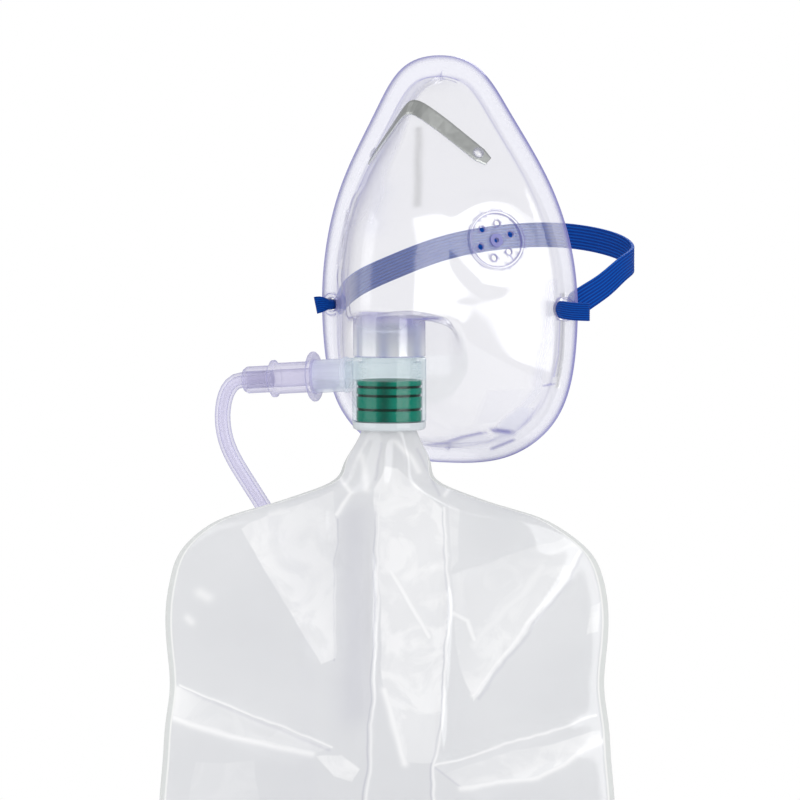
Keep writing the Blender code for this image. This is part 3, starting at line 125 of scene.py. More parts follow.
# Elastic strap. Its points: side of the eye it is measured from, mm across, share of the
# span behind the mask or else mm past the flange's middle, and mm up
STRAP_WIDTH = 8.7 * MM
STRAP_TAIL_WIDTH = 6.0 * MM
STRAP_THICKNESS = 1.3 * MM
STRAP_PINCH = 1.75 * MM
STRAP_PINCH_HALF_LENGTH = 2.4 * MM
STRAP_PINCH_FADE = 2.2 * MM
STRAP_SPAN_BACK = 51.0 * MM
STRAP_STATIONS = 240
STRAP_RIBS = 8
STRAP_WEAVE = 0.8 * MM
STRAP_EYES = (4, 19)
STRAP_POINTS = (
    (1, 14.0, 0, -7.0, -0.6), (1, 7.0, 0, -7.4, -0.4), (1, 2.2, 0, -5.6, 0), (1, 0, 0, -2.4, 0),
    (1, 0, 0, 0, 0), (1, 0, 0, 2.4, 0), (1, 2.6, 0, 6.2, 2.5), (1, 6.8, 0.28, 0, 7.7),
    (1, 8.2, 0.48, 0, 13.1), (1, 5.2, 0.72, 0, 16.2), (1, -3.6, 0.90, 0, 19.4),
    (1, -16.6, 1.00, 0, 22.2), (0, 14.0, 1.01, 0, 24.0), (0, -6.0, 0.94, 0, 23.3),
    (0, -28.0, 0.77, 0, 18.8), (-1, 4.6, 0.58, 0, 12.1), (-1, -3.0, 0.34, 0, 5.6),
    (-1, -2.6, 0.19, 0, 1.7), (-1, 0, 0, 2.6, 0), (-1, 0, 0, 0, 0), (-1, 0, 0, -2.4, 0),
    (-1, -1.8, 0, -5.2, 0), (-1, -3.2, 0, -6.2, -0.3),
)

# Tee connector, its side port, the tube's adaptor, the green band and the bag's ring
TEE_RADIUS = 12.5 * MM
TEE_LENGTH = 21.5 * MM
TEE_SKIRT_WALL = 1.2 * MM
SIDE_ANGLE = math.radians(197.0)
SIDE_DROP = 5.2 * MM
SIDE_DROOP = math.radians(3.6)
SIDE_REACH = 26.6 * MM
ADAPTOR_LENGTH = 24.6 * MM
BAND_WALL = 1.6 * MM
BAND_LENGTH = 13.9 * MM
BAND_GROOVE_SHARES = (0.16, 0.37, 0.71)
BAND_GROOVE_WIDTH = 0.9 * MM
RING_LENGTH = 2.7 * MM

# Reservoir bag. Its half width: mm below the ring against mm past the neck's radius, then
# against shares of its half width, and mm above the foot against such shares
BAG_HALF_WIDTH = 75.0 * MM
BAG_DROP = 250.0 * MM
BAG_HALF_DEPTH = 7.5 * MM
BAG_TURN = math.radians(33.0)
BAG_NECK_INSIDE = 4.0 * MM
BAG_EDGE = 0.35 * MM
BAG_COLUMNS = 110
BAG_ROWS = 260
BAG_NECK = ((0.0, 0.0), (5.0, 2.4), (12.0, 5.8))
BAG_SIDES = (
    (18.0, 0.25), (22.0, 0.38), (25.5, 0.52), (29.0, 0.68), (34.0, 0.815), (41.0, 0.922),
    (50.0, 0.978), (62.0, 1.003), (76.0, 0.995), (88.0, 0.985), (100.0, 1.005),
    (112.0, 1.017), (126.0, 1.033), (180.0, 1.0),
)
BAG_FOOT = ((22.0, 0.985), (8.0, 0.93), (0.0, 0.80))

# Bag's creases: across and drop at one end, the same at the other, height and width, in mm
BAG_CREASES = (
    (-17.0, 24.0, -15.5, 50.0, 2.0, 2.2),
    (-5.5, 30.0, -8.0, 126.0, 2.2, 2.4),
    (20.5, 28.0, 15.5, 126.0, 2.2, 2.4),
    (-50.0, 33.0, -19.5, 78.0, 2.6, 6.0),
    (-71.0, 87.5, -19.0, 107.0, 1.8, 2.2),
    (-72.0, 98.0, -26.0, 110.0, 1.8, 3.0),
    (20.0, 49.0, 59.0, 37.0, 2.4, 5.0),
    (28.0, 90.0, 65.0, 40.0, 2.4, 2.6),
    (17.0, 113.0, 70.0, 97.0, 2.2, 2.4),
    (26.0, 122.0, 73.0, 106.0, 2.0, 3.6),
    (-60.0, 170.0, -10.0, 140.0, 1.8, 4.0),
    (12.0, 150.0, 66.0, 185.0, 1.8, 4.0),
    (-66.0, 215.0, 60.0, 205.0, 1.6, 4.0),
)

# Oxygen tube and its coil behind the bag. Its visible run: mm across, behind and up
TUBE_RADIUS = 2.7 * MM
TUBE_STEP = 2.2 * MM
TUBE_SIDES = 20
BORE_SIDES = 14
TUBE_RUN = (
    (-54.6, 16.2, -44.2), (-56.6, 17.2, -49.0), (-57.2, 18.0, -54.6), (-55.8, 18.6, -63.4),
    (-49.6, 19.2, -75.4), (-43.2, 20.0, -85.6), (-35.0, 21.6, -101.0), (-30.0, 23.6, -118.0),
)
COIL_MEAN_RADIUS = 30.0 * MM
COIL_DROP = 171.0 * MM
COIL_HALF_WIDTH = 8.2 * MM
COIL_BEHIND = 22.0 * MM
COIL_ASIDE = 7.0 * MM
COIL_ENTRY_OUT = 5.4 * MM
COIL_EXIT_OUT = 2.7 * MM
COIL_LAYER = 7.0 * MM
COIL_ROWS = ((5.4, 0.0, -5.4), (-2.7, 2.7), (5.4, 0.0, -5.4), (-2.7, 2.7))
COIL_STEPS = 40
COIL_CROSSING = 0.62
END_NECK_RADIUS = 4.2 * MM

# Heights and radii that follow from the sizes above
SOCKET_END = SHELF_HEIGHT - PORT_LENGTH
TEE_TOP = SOCKET_END - GAP
TEE_BOTTOM = TEE_TOP - TEE_LENGTH
BAND_OUTER = TEE_RADIUS - TEE_SKIRT_WALL - GAP
RING_TOP = TEE_BOTTOM - GAP
RING_BOTTOM = RING_TOP - RING_LENGTH
NECK_RADIUS = BAND_OUTER - BAND_WALL - GAP
PORT_AXIS = Vector((0.0, -PORT_FORWARD, 0.0))
SIDE_HEIGHT = TEE_TOP - SIDE_DROP
COIL_CENTRE = (COIL_ASIDE, COIL_BEHIND, RING_BOTTOM - COIL_DROP)

# Mask wall's painted marks, seen from the front: dark reflections at the chin, shade bands,
# highlights and shade lines. Rows: share, half width or shining edge, points in mm
WALL_PAINTED_DARK_REFLECTIONS = (
    (0.9, None, ((18.0, -65.7), (21.0, -64.3), (26.8, -61.3), (33.5, -55.9), (36.0, -50.8),
                 (32.7, -50.4), (24.6, -56.9))),
    (0.3, None, ((17.8, -56.9), (25.0, -55.8), (33.1, -49.1), (35.6, -44.3), (25.5, -44.9))),
)
# Painted shade bands that deepen the tint: the nose's left side, inside the right flange, along the
# chin
WALL_PAINTED_SHADE_BANDS = (
    (0.6, 5.0, ((-13.0, 35.0), (-1.0, 22.0), (0.0, 12.0))),
    (0.7, 1.5, ((43.5, -8.0), (42.4, -27.6), (38.9, -44.7), (33.1, -51.6))),
    (0.7, 2.5, ((-5.6, -66.5), (11.6, -63.5), (18.7, -62.0))),
)
# Painted highlights: white lines down the nose and inside the right flange
WALL_PAINTED_HIGHLIGHTS = (
    (0.6, 0.8, ((3.6, 44.0), (6.0, 36.8), (9.2, 26.7), (11.3, 18.3))),
    (0.9, 0.6, ((47.0, -12.0), (46.6, -24.9), (46.2, -31.0), (44.5, -43.7))),
)
# Painted shade lines along the chin and beside the flange's painted highlight
WALL_PAINTED_SHADE_LINES = (
    (0.4, 0.5, ((-5.6, -65.0), (3.9, -63.8), (11.6, -61.4), (18.7, -59.8))),
    (0.6, 0.9, ((22.9, -58.9), (26.6, -59.5))),
    (0.4, 0.5, ((18.0, -65.7), (26.6, -62.4))),
    (0.3, 0.35, ((46.2, -12.0), (45.9, -24.9), (45.4, -33.0), (43.8, -40.0))),
    (0.4, 0.4, ((41.0, -43.3), (42.7, -42.7))),
)

# Tinted lines of the mask: the rim's, wider on its far side, and what counts as a sharp edge
RIM_LINE = 1.2 * MM
RIM_LINE_MORE = 0.3 * MM
SHARP_EDGE = math.radians(38.0)

# Socket's painted shade streaks, as (angle from the front, width), in degrees, its foot line, and
# the distance from the connector's axis, in mm, at which the port turns lilac
SOCKET_PAINTED_SHADE_STREAKS = ((-26.0, 5.0), (84.0, 13.0), (24.0, 9.0))
SOCKET_FOOT_LINE = 0.35 * MM
LILAC_FROM = 14.5

# Studio floor, in metres
FLOOR_RADIUS = 0.55
FLOOR_HEIGHT = -0.335

# Film: white panels, milky where its layers part and painted highlights where its flat facets
# mirror the lamps, as (white, edge that shines, corners in mm)
FILM_MILK_AND_PAINTED_HIGHLIGHT_PANELS = (
    (0.45, 4, ((-50.6, 33.0), (-19.2, 20.1), (-17.3, 30.9), (-18.9, 76.3), (-23.0, 79.2))),
    (0.75, None, ((-5.5, 19.5), (-1.5, 12.0), (2.5, 12.5), (18.1, 26.6), (20.2, 62.0),
                  (17.5, 92.5), (15.9, 113.0), (5.9, 113.0), (-1.7, 90.3))),
    (0.35, 1, ((59.2, 36.3), (66.7, 41.1), (28.4, 91.4), (24.0, 79.5), (21.3, 62.2),
               (21.3, 49.0))),
    (0.30, 3, ((-72.2, 87.3), (-20.3, 106.8), (-26.3, 110.0), (-75.4, 96.8))),
    (0.35, 3, ((15.9, 114.7), (35.9, 110.3), (70.5, 96.8), (72.1, 106.0), (45.6, 119.0),
               (25.1, 121.9))),
    (0.85, None, ((-25.2, 110.3), (-17.0, 109.3), (-10.6, 114.1), (-12.7, 119.0),
                  (-19.2, 116.8))),
    (0.25, None, ((-66.0, 113.0), (-46.0, 112.0), (-44.0, 127.0), (-68.0, 128.0))),
    (0.45, None, ((68.4, 60.0), (71.6, 58.5), (71.2, 69.0), (67.4, 70.0))),
    (0.35, None, ((20.4, 25.0), (24.0, 27.0), (23.5, 44.0), (21.4, 48.0))),
)

# Film: painted highlights along its crease lines and painted shade in its grey folds, as (share,
# half width, points in mm)
FILM_PAINTED_GLINT_LINES = (
    (0.9, 0.45, ((-71.0, 87.2), (-20.3, 106.6))),
    (0.9, 0.9, ((64.7, 42.0), (28.4, 89.7))),
    (0.5, 2.2, ((52.0, 47.0), (28.9, 72.8))),
    (0.8, 0.5, ((15.5, 114.1), (70.1, 97.2))),
    (0.9, 1.1, ((24.4, 121.5), (50.2, 117.6), (72.1, 106.1))),
    (0.9, 1.2, ((-73.0, 98.2), (-49.2, 105.1), (-26.3, 109.6))),
    (0.7, 0.5, ((-3.4, 20.6), (-4.9, 89.2), (-7.4, 125.0), (-9.0, 250.0))),
    (0.8, 0.5, ((18.9, 26.6), (20.4, 58.4), (18.9, 90.2), (15.5, 114.1), (15.0, 250.0))),
    (0.8, 0.9, ((21.4, 61.4), (26.4, 64.4), (28.9, 70.9))),
    (0.9, 1.0, ((0.5, 47.5), (13.5, 69.8))),
    (0.9, 1.3, ((-1.5, 88.2), (5.5, 113.1))),
    (0.6, 2.0, ((-63.5, 56.0), (-61.5, 57.0))),
    (0.6, 1.4, ((-68.5, 64.0), (-67.5, 65.0))),
    (0.5, 1.2, ((-40.0, 29.0), (-34.0, 27.5))),
    (0.8, 1.0, ((2.5, 4.0), (7.0, 8.5), (10.0, 14.0))),
    (0.6, 1.2, ((-9.0, 9.0), (-7.5, 20.0))),
    (0.8, 0.8, ((-18.0, 15.0), (-12.5, 21.5), (-17.0, 29.0))),
    (0.7, 0.8, ((17.0, 12.0), (22.0, 19.0), (19.0, 22.0))),
)
# Painted shade in the film's folds
FILM_PAINTED_FOLD_SHADE = (
    (0.55, 0.35, ((-16.8, 30.6), (-18.8, 52.4), (-19.3, 77.3))),
    (0.6, 0.35, ((-4.6, 24.0), (-6.1, 89.2), (-8.6, 125.0), (-10.2, 250.0))),
    (0.6, 0.35, ((18.1, 28.0), (19.5, 58.4), (18.0, 90.2), (14.6, 114.1), (14.1, 250.0))),
    (0.5, 0.4, ((16.4, 115.1), (24.9, 121.5))),
    (0.4, 0.6, ((-70.0, 88.4), (-21.0, 107.9))),
    (0.4, 0.6, ((65.9, 42.8), (30.0, 90.6))),
    (0.35, 6.0, ((-11.5, 30.0), (-12.0, 95.0))),
    (0.4, 0.5, ((-2.0, 5.0), (-5.0, 16.0))),
    (0.4, 0.5, ((9.0, 6.0), (17.0, 22.0))),
)


def smooth_line(knots, points, at):
    """Natural cubic spline: one linear system gives the second derivatives at the knots."""
    knots, points, at = (np.asarray(a, float) for a in (knots, points, at))
    gap = np.diff(knots)
    count = len(knots)
    system = np.eye(count)
    load = np.zeros_like(points)
    inner = np.arange(1, count - 1)
    system[inner, inner - 1] = gap[:-1]
    system[inner, inner] = 2.0 * (gap[:-1] + gap[1:])
    system[inner, inner + 1] = gap[1:]
    load[1:-1] = 6.0 * np.diff(np.diff(points, axis=0) / gap[:, None], axis=0)
    bend = np.linalg.solve(system, load)
    k = np.clip(np.searchsorted(knots, at, side="right") - 1, 0, count - 2)
    step = gap[k][:, None]
    a = (knots[k + 1] - at)[:, None] / step
    b = 1.0 - a
    curve = (a**3 - a) * bend[k] + (b**3 - b) * bend[k + 1]
    return a * points[k] + b * points[k + 1] + curve * step**2 / 6.0


def chord_knots(points):
    """Distances along a line of points, the spline's parameter."""
    steps = np.linalg.norm(np.diff(np.asarray(points, float), axis=0), axis=1)
    return np.concatenate([[0.0], np.cumsum(steps)])


def smoothstep(t):
    t = np.clip(t, 0.0, 1.0)
    return t * t * (3.0 - 2.0 * t)


def unit(v):
    return v / np.linalg.norm(v, axis=-1, keepdims=True)


def rim_curves(u):
    """Right half of the rim's outer edge and of the flange's inner edge, at row shares u.

    The outer edge is a spline through the rim's stations, carried on past both ends so that
    it crosses the middle line square. The inner edge lies a flange's width inward of it.
    """
    half = [(x * RIM_HALF_WIDTH, z * RIM_HALF_HEIGHT) for x, z in RIM_STATIONS]
    before = [(-x, z) for x, z in half[3:0:-1]]
    after = [(-x, z) for x, z in half[-2:-5:-1]]
    loop = np.array(before + half + after)
    knots = chord_knots(loop)
    first, last = knots[len(before)], knots[len(before) + len(half) - 1]
    at = first + (last - first) * u
    outer = smooth_line(knots, loop, at)
    along = unit(smooth_line(knots, loop, at + 1e-4) - outer)
    inward = np.stack([along[:, 1], -along[:, 0]], axis=1)
    share = smoothstep((outer[:, 1] / RIM_HALF_HEIGHT + 1.0) / 2.0)
    width = FLANGE_WIDTH_CHIN + (FLANGE_WIDTH_TOP - FLANGE_WIDTH_CHIN) * share
    inner = outer + inward * width[:, None]
    inner[:, 0] = np.maximum(inner[:, 0], 0.0)
    inner[(u <= 0.0) | (u >= 1.0), 0] = 0.0
    return outer, inner


def rim_y(z):
    """The rim leans forward above its middle, against the port's upright axis."""
    return -0.5 * RIM_LEAN * (z + np.sqrt(z**2 + RIM_LEAN_START**2))


def middle_line(u, inset, shelf_share=1.0):
    """Forward distance and height of the mask on its middle plane, at row shares u.

    An inset moves the line inward: back at the nose and chin, and up at the shelf. With a
    shelf share of zero it is the cheeks' line, which runs from nose to chin with no shelf.
    """
    _, edge = rim_curves(np.array([0.0, 1.0]))
    top = edge[0, 1] - inset
    foot = edge[1, 1] + inset
    nose = NOSE_DEPTH - 1.15 * inset
    chin = CHIN_DEPTH - inset
    shelf = SHELF_HEIGHT + inset
    turn = SHELF_ROUND
    if shelf_share == 0.0:
        middle = (
            (0.54, 0.95 * nose, 0.45 * SHELF_HEIGHT),
            (0.60, 0.82 * nose, 0.26 * foot),
            (0.66, 0.66 * nose, 0.37 * foot),
            (0.70, 0.55 * nose, 0.45 * foot),
            (0.76, chin + turn, 0.58 * foot),
        )
    else:
        middle = (
            (0.54, 1.00 * nose, 0.5 * SHELF_HEIGHT),
            (0.575, nose - 0.3 * MM, shelf + 1.2 * turn),
            (0.605, nose - 1.2 * turn, shelf + 0.1 * turn),
            (0.665, chin + turn, shelf),
            (0.690, chin, shelf - turn),
            (0.76, chin, 0.60 * foot),
        )
    stations = (
        (0.00, -rim_y(top) - inset, top),
        (0.06, 0.30 * nose, top - 4.0 * MM),
        (0.16, 0.52 * nose, 0.70 * top),
        (0.26, 0.66 * nose, 0.545 * top),
        (0.36, 0.81 * nose, 0.36 * top),
        (0.46, 0.95 * nose, 0.14 * top),
        *middle,
        (0.86, 0.86 * chin, 0.80 * foot),
        (0.94, 0.45 * chin, 0.95 * foot),
        (1.00, -rim_y(foot) - inset, foot),
    )
    line = smooth_line([row[0] for row in stations], [row[1:] for row in stations], u)
    return line[:, 0], line[:, 1]


def mask_surface(u, s, inset=0.0):
    """Face of the dome: u runs down the rows, s from the middle line (0) to the flange (1).

    Each row is a hyperbola in the nose, whose tip is round, and a flatter power curve at
    the chin. Its height runs from the middle line's to the rim's. The inner face is the
    same surface with a narrower edge and an inset middle line.
    """
    _, edge = rim_curves(u[:, 0])
    side = np.abs(s)
    cheek = smoothstep((side - SHELF_SHARE) / SHELF_FADE)
    nose_line = middle_line(u[:, 0], inset)
    cheek_line = middle_line(u[:, 0], inset, 0.0)
    depth, height = (a[:, None] + (b - a)[:, None] * cheek for a, b in zip(nose_line, cheek_line))
    edge_x = np.maximum(edge[:, 0] - inset, 0.0)[:, None]
    edge_z = edge[:, 1][:, None]
    edge_z = edge_z - inset * np.sign(edge_z) * np.abs(edge_z / RIM_HALF_HEIGHT) ** 4
    edge_y = rim_y(edge_z) + inset
    tip = NOSE_ROUNDNESS
    wedge = (np.sqrt(side**2 + tip**2) - tip) / (math.sqrt(1.0 + tip**2) - tip)
    bowl = side**CHIN_SQUARENESS
    share = smoothstep((u - 0.56) / 0.16)
    fall = wedge * (1.0 - share) + bowl * share
    y = -depth + (edge_y + depth) * fall
    z = height + (edge_z - height) * side**1.8
    return np.stack([s * edge_x, y, z], axis=-1)


def locate(x, z):
    """Row share and column of the dome's point that stands at (x, z), seen from the front.

    The nearest of a coarse grid of points, and from it twelve steps of Newton's method.
    """
    grid_u, grid_s = np.meshgrid(np.linspace(0.01, 0.99, 99), np.linspace(-1, 1, 81), indexing="ij")
    points = mask_surface(grid_u, grid_s)
    miss = np.hypot(points[..., 0] - x, points[..., 2] - z)
    best = np.unravel_index(np.argmin(miss), miss.shape)
    u, s = grid_u[best], grid_s[best]
    step = 1e-4
    for _ in range(12):
        spots = mask_surface(np.array([[u], [u + step], [u]]), np.array([[s], [s], [s + step]]))
        here = spots[0, 0, ::2]
        slope = np.stack([spots[1, 0, ::2] - here, spots[2, 0, ::2] - here], axis=1) / step
        move = np.linalg.solve(slope, np.array([x, z]) - here)
        u = min(max(u + move[0], 0.002), 0.998)
        s = min(max(s + move[1], -1.0), 1.0)
    return u, s


def surface_frame(x, z):
    """Point, outward normal and sideways tangent of the dome's outer face, seen at (x, z)."""
    u, s = locate(x, z)
    step = 1e-3

    def at(a, b):
        return mask_surface(np.array([[a]]), np.array([[b]]))[0, 0]

    down = at(u + step, s) - at(u - step, s)
    across = at(u, s + step) - at(u, s - step)
    normal = unit(np.cross(across, down))
    if normal[1] > 0.0:
        normal = -normal
    across = unit(across)
    return at(u, s), normal, across


def flatten_discs(points, inset):
    """Draws the wall round each exhalation disc onto the disc's own plane."""
    for side in (1.0, -1.0):
        centre, normal, _ = surface_frame(side * DISC_X, DISC_Z)
        offset = points - centre
        away = offset @ normal + inset
        flat = np.linalg.norm(offset - away[..., None] * normal, axis=-1)
        share = 1.0 - smoothstep((flat - DISC_FLAT) / DISC_BLEND)
        share = share * (np.abs(away) < DISC_FLAT)
        points = points - (away * share)[..., None] * normal
    return points


def fillet_rows(dome, outer):
    """Rounds the corner between wall and flange with a quadratic arc in each row."""
    edge = dome[:, -1]
    flange_end, middle = (edge + (outer - edge) * t for t in (FILLET_END, FLANGE_MIDDLE))
    arc = [
        (1 - t) ** 2 * dome[:, -2] + 2 * t * (1 - t) * edge + t**2 * flange_end
        for t in (0.33, 0.67)
    ]
    return np.stack(arc + [flange_end, middle, outer], axis=1)


def add_mesh(name, verts, faces, mat):
    mesh = bpy.data.meshes.new(name)
    mesh.from_pydata(np.asarray(verts, float).tolist(), [], faces)
    mesh.materials.append(mat)
    obj = bpy.data.objects.new(name, mesh)
    bpy.context.scene.collection.objects.link(obj)
    return obj


def clean_mesh(obj, outward=True):
    """Merges doubles and turns every face of a closed mesh outward."""
    bm = bmesh.new()
    bm.from_mesh(obj.data)
    bmesh.ops.remove_doubles(bm, verts=bm.verts, dist=1e-6)
    if outward:
        bmesh.ops.recalc_face_normals(bm, faces=bm.faces)
    bm.to_mesh(obj.data)
    bm.free()


def add_attribute(obj, name, values):
    mark = obj.data.attributes.new(name, "FLOAT", "POINT")
    mark.data.foreach_set("value", np.ravel(values).astype(np.float32))


def grid_faces(rows, columns, row_loop=False, column_loop=True, base=0):
    """Quads of a grid of points numbered row by row, which may close on itself either way."""
    i = np.arange(rows if row_loop else rows - 1)[:, None]
    k = np.arange(columns if column_loop else columns - 1)[None, :]
    near, far = base + i * columns, base + (i + 1) % rows * columns
    after = (k + 1) % columns
    quads = np.stack([near + k, near + after, far + after, far + k], axis=-1)
    return quads.reshape(-1, 4).tolist()


def lathe(name, profile, sides, mat, place, ring=False):
    """(Radius, height) profile turned about the place's Z axis: a ring, or with flat ends."""
    turn = np.linspace(0.0, 2.0 * math.pi, sides, endpoint=False)
    radius, height = np.array(profile, float).T[:, :, None]
    verts = np.broadcast_arrays(radius * np.cos(turn), radius * np.sin(turn), height)
    faces = grid_faces(len(profile), sides, row_loop=ring)
    if not ring:
        last = (len(profile) - 1) * sides
        faces += [list(range(sides)), list(range(last, last + sides))]
    obj = add_mesh(name, np.stack(verts, axis=-1).reshape(-1, 3), faces, mat)
    obj.data.transform(place)
    clean_mesh(obj)
    return obj


def rod(name, radius, start, end, sides, mat):
    """Solid cylinder from start to end."""
    axis = Vector(end) - Vector(start)
    place = Matrix.Translation(start) @ axis.to_track_quat("Z", "Y").to_matrix().to_4x4()
    return lathe(name, ((radius, 0.0), (radius, axis.length)), sides, mat, place)


def combine(target, others, mat, operation):
    """Boolean of a mesh with several that don't touch each other, which are used up."""
    bm = bmesh.new()
    for obj in others:
        bm.from_mesh(obj.data)
        bpy.data.objects.remove(obj)
    other = add_mesh("tools", [], [], mat)
    bm.to_mesh(other.data)
    bm.free()
    mod = target.modifiers.new("join", "BOOLEAN")
    mod.operation = operation
    mod.solver = "EXACT"
    mod.object = other
    graph = bpy.context.evaluated_depsgraph_get()
    mesh = bpy.data.meshes.new_from_object(target.evaluated_get(graph))
    target.modifiers.clear()
    target.data = mesh
    bpy.data.objects.remove(other)


def frame_at(origin, axis, side):
    """Matrix whose Z lies along axis at origin, with X as near side as it can be."""
    z = Vector(axis).normalized()
    x = Vector(side)
    x = (x - z * x.dot(z)).normalized()
    return Matrix.Translation(Vector(origin)) @ Matrix((x, z.cross(x), z)).transposed().to_4x4()


def shell_skin(inset):
    """Points of one face of the mask, rim to rim, then some down each pole's middle line."""
    u = np.linspace(0.0, 1.0, RIM_ROWS + 1)
    u = np.sort(np.concatenate([u, SHELF_ROWS]))[1:-1]
    s = np.append(np.linspace(0.0, 0.93, WALL_COLUMNS), [0.965, 1.0])
    grid_u, grid_s = np.meshgrid(u, s, indexing="ij")
    dome = flatten_discs(mask_surface(grid_u, grid_s, inset), inset)
    outer, _ = rim_curves(u)
    outer = np.stack([outer[:, 0], rim_y(outer[:, 1]) + inset, outer[:, 1]], axis=1)
    right = np.concatenate([dome[:, :-1], fillet_rows(dome, outer)], axis=1)
    left = right[:, :0:-1] * np.array([-1.0, 1.0, 1.0])
    rows = np.concatenate([left, right], axis=1)
    ends, _ = rim_curves(np.array([0.0, 1.0]))
    poles = []
    for row, end in ((0, 0), (-1, 1)):
        depth, height = middle_line(np.array([float(end)]), inset)
        edge = np.array([0.0, -depth[0], height[0]])
        tip = np.array([0.0, rim_y(ends[end, 1]) + inset, ends[end, 1]])
        start = edge * 0.6 + rows[row, rows.shape[1] // 2] * 0.4
        poles.append([start] + [edge + (tip - edge) * t for t in POLE_SHARES])
    return rows, np.array(poles)


def skin_faces(count_rows, count, base):
    """Faces of one skin, and the ids of the points along its rim, once round.

    Quads between the rows, and round each pole quads along the flange and then a fan.
    """
    faces = grid_faces(count_rows, count, column_loop=False, base=base)
    fan = 1 + len(POLE_SHARES)
    tips = []
    for row, pole in ((0, 0), (count_rows - 1, 1)):
        chain = [base + count_rows * count + pole * fan + k for k in range(fan)]
        tips.append(chain[-1])
        start = base + row * count
        line = list(range(start, start + count))
        for half, ids in enumerate((line, line[::-1])):
            turn = 1 if (half == 0) == (pole == 0) else -1
            for k in range(count // 2):
                end = (chain[fan - 2 - k], chain[fan - 1 - k]) if k < fan - 1 else (chain[0],)
                faces.append((ids[k], ids[k + 1], *end)[::turn])
    right = [base + i * count + count - 1 for i in range(count_rows)]
    left = [base + i * count for i in range(count_rows)][::-1]
    return faces, [tips[0], *right, tips[1], *left]


def shell_sheet(mat):
    """Closed shell of an outer and an inner skin, joined along the rim's edge."""
    verts, skins = [], []
    for inset in (0.0, WALL):
        rows, poles = shell_skin(inset)
        skins.append(skin_faces(rows.shape[0], rows.shape[1], len(verts)))
        verts += list(rows.reshape(-1, 3)) + list(poles.reshape(-1, 3))
    (outer_faces, outer_rim), (inner_faces, inner_rim) = skins
    after = np.roll([outer_rim, inner_rim], -1, axis=1)
    edge = np.stack([outer_rim, after[0], after[1], inner_rim], axis=1).tolist()
    faces = outer_faces + [face[::-1] for face in inner_faces] + edge
    obj = add_mesh("mask_wall", verts, faces, mat)
    clean_mesh(obj)
    return obj


def port_socket(adds, cuts, mat):
    """Round socket that hangs from the shelf, open into the mask."""
    outer = PORT_BORE_RADIUS + PORT_WALL
    lip = 0.4 * MM
    profile = (
        (outer, SHELF_HEIGHT + 0.5 * WALL),
        (outer, SOCKET_END + lip),
        (outer - lip, SOCKET_END),
    )
    adds.append(lathe("socket", profile, LATHE_SIDES, mat, Matrix.Translation(PORT_AXIS)))
    low = PORT_AXIS + Vector((0.0, 0.0, SOCKET_END - 1.0 * MM))
    high = PORT_AXIS + Vector((0.0, 0.0, SHELF_HEIGHT + WALL + 0.8 * MM))
    cuts.append(rod("bore", PORT_BORE_RADIUS, low, high, LATHE_SIDES, mat))


def exhalation_disc(adds, cuts, side, mat):
    """Raised round rim and centre boss on the flat of the cheek, with holes through the wall."""
    place = frame_at(*surface_frame(side * DISC_X, DISC_Z))
    sunk = -0.5 * WALL
    inner = DISC_RADIUS - DISC_RIM
    rim = (
        (inner, sunk),
        (DISC_RADIUS, sunk),
        (DISC_RADIUS, 0.55 * DISC_PROUD),
        (DISC_RADIUS - 0.25 * DISC_RIM, DISC_PROUD),
        (DISC_RADIUS - 0.62 * DISC_RIM, DISC_PROUD),
        (inner, DISC_PROUD),
    )
    adds.append(lathe("disc_rim", rim, LATHE_SIDES, mat, place, ring=True))
    start, end = (place @ Vector((0.0, 0.0, z)) for z in (sunk, 0.7 * DISC_PROUD))
    adds.append(rod("boss", DISC_CENTRE_BOSS, start, end, 40, mat))
    spots = [(0.0, 0.0, DISC_CENTRE_HOLE)]
    for k in range(DISC_HOLES):
        turn = 2.0 * math.pi * (k + 0.5) / DISC_HOLES
        x, y = DISC_HOLE_CIRCLE * math.cos(turn), DISC_HOLE_CIRCLE * math.sin(turn)
        spots.append((x, y, DISC_HOLE_RADIUS))
    for x, y, radius in spots:
        start, end = (place @ Vector((x, y, z)) for z in (-2.5 * WALL, 2.0 * DISC_PROUD))
        cuts.append(rod("hole", radius, start, end, 24, mat))


def eye_place(side):
    """Centre of a strap eye on the front face of the flange."""
    outer, _ = rim_curves(np.linspace(0.2, 0.8, 241))
    near = int(np.argmin(np.abs(outer[:, 1] - EYE_HEIGHT)))
    return Vector((side * (outer[near, 0] - EYE_INSET), rim_y(EYE_HEIGHT), EYE_HEIGHT))


def strap_eye(adds, cuts, side, mat):
    """Raised collar round a hole through the flange."""
    hub = frame_at(eye_place(side), (0.0, -1.0, 0.0), (1.0, 0.0, 0.0))
    collar = (
        (EYE_OUTER_RADIUS, -0.6 * WALL),
        (EYE_OUTER_RADIUS, 0.6 * EYE_PROUD),
        (EYE_OUTER_RADIUS - 0.3 * MM, EYE_PROUD),
        (0.5 * (EYE_OUTER_RADIUS + EYE_HOLE_RADIUS), EYE_PROUD),
    )
    adds.append(lathe("eye", collar, 60, mat, hub))
    start, end = (hub @ Vector((0.0, 0.0, z)) for z in (-4.0 * MM, EYE_PROUD + 1.0 * MM))
    cuts.append(rod("eye_hole", EYE_HOLE_RADIUS, start, end, 40, mat))


def clip_peg(adds, side, mat):
    """Peg through the clip's end hole, with a head that holds the strip on."""
    over = GAP + CLIP_THICKNESS + GAP
    profile = (
        (PEG_RADIUS, -0.6 * WALL),
        (PEG_RADIUS, over),
        (PEG_HEAD_RADIUS, over),
        (PEG_HEAD_RADIUS, over + 0.5 * PEG_HEAD_HEIGHT),
        (0.5 * PEG_RADIUS, over + PEG_HEAD_HEIGHT),
    )
    stem = frame_at(*surface_frame(side * CLIP_HOLE_X, CLIP_HOLE_Z))
    adds.append(lathe("peg", profile, 32, mat, stem))


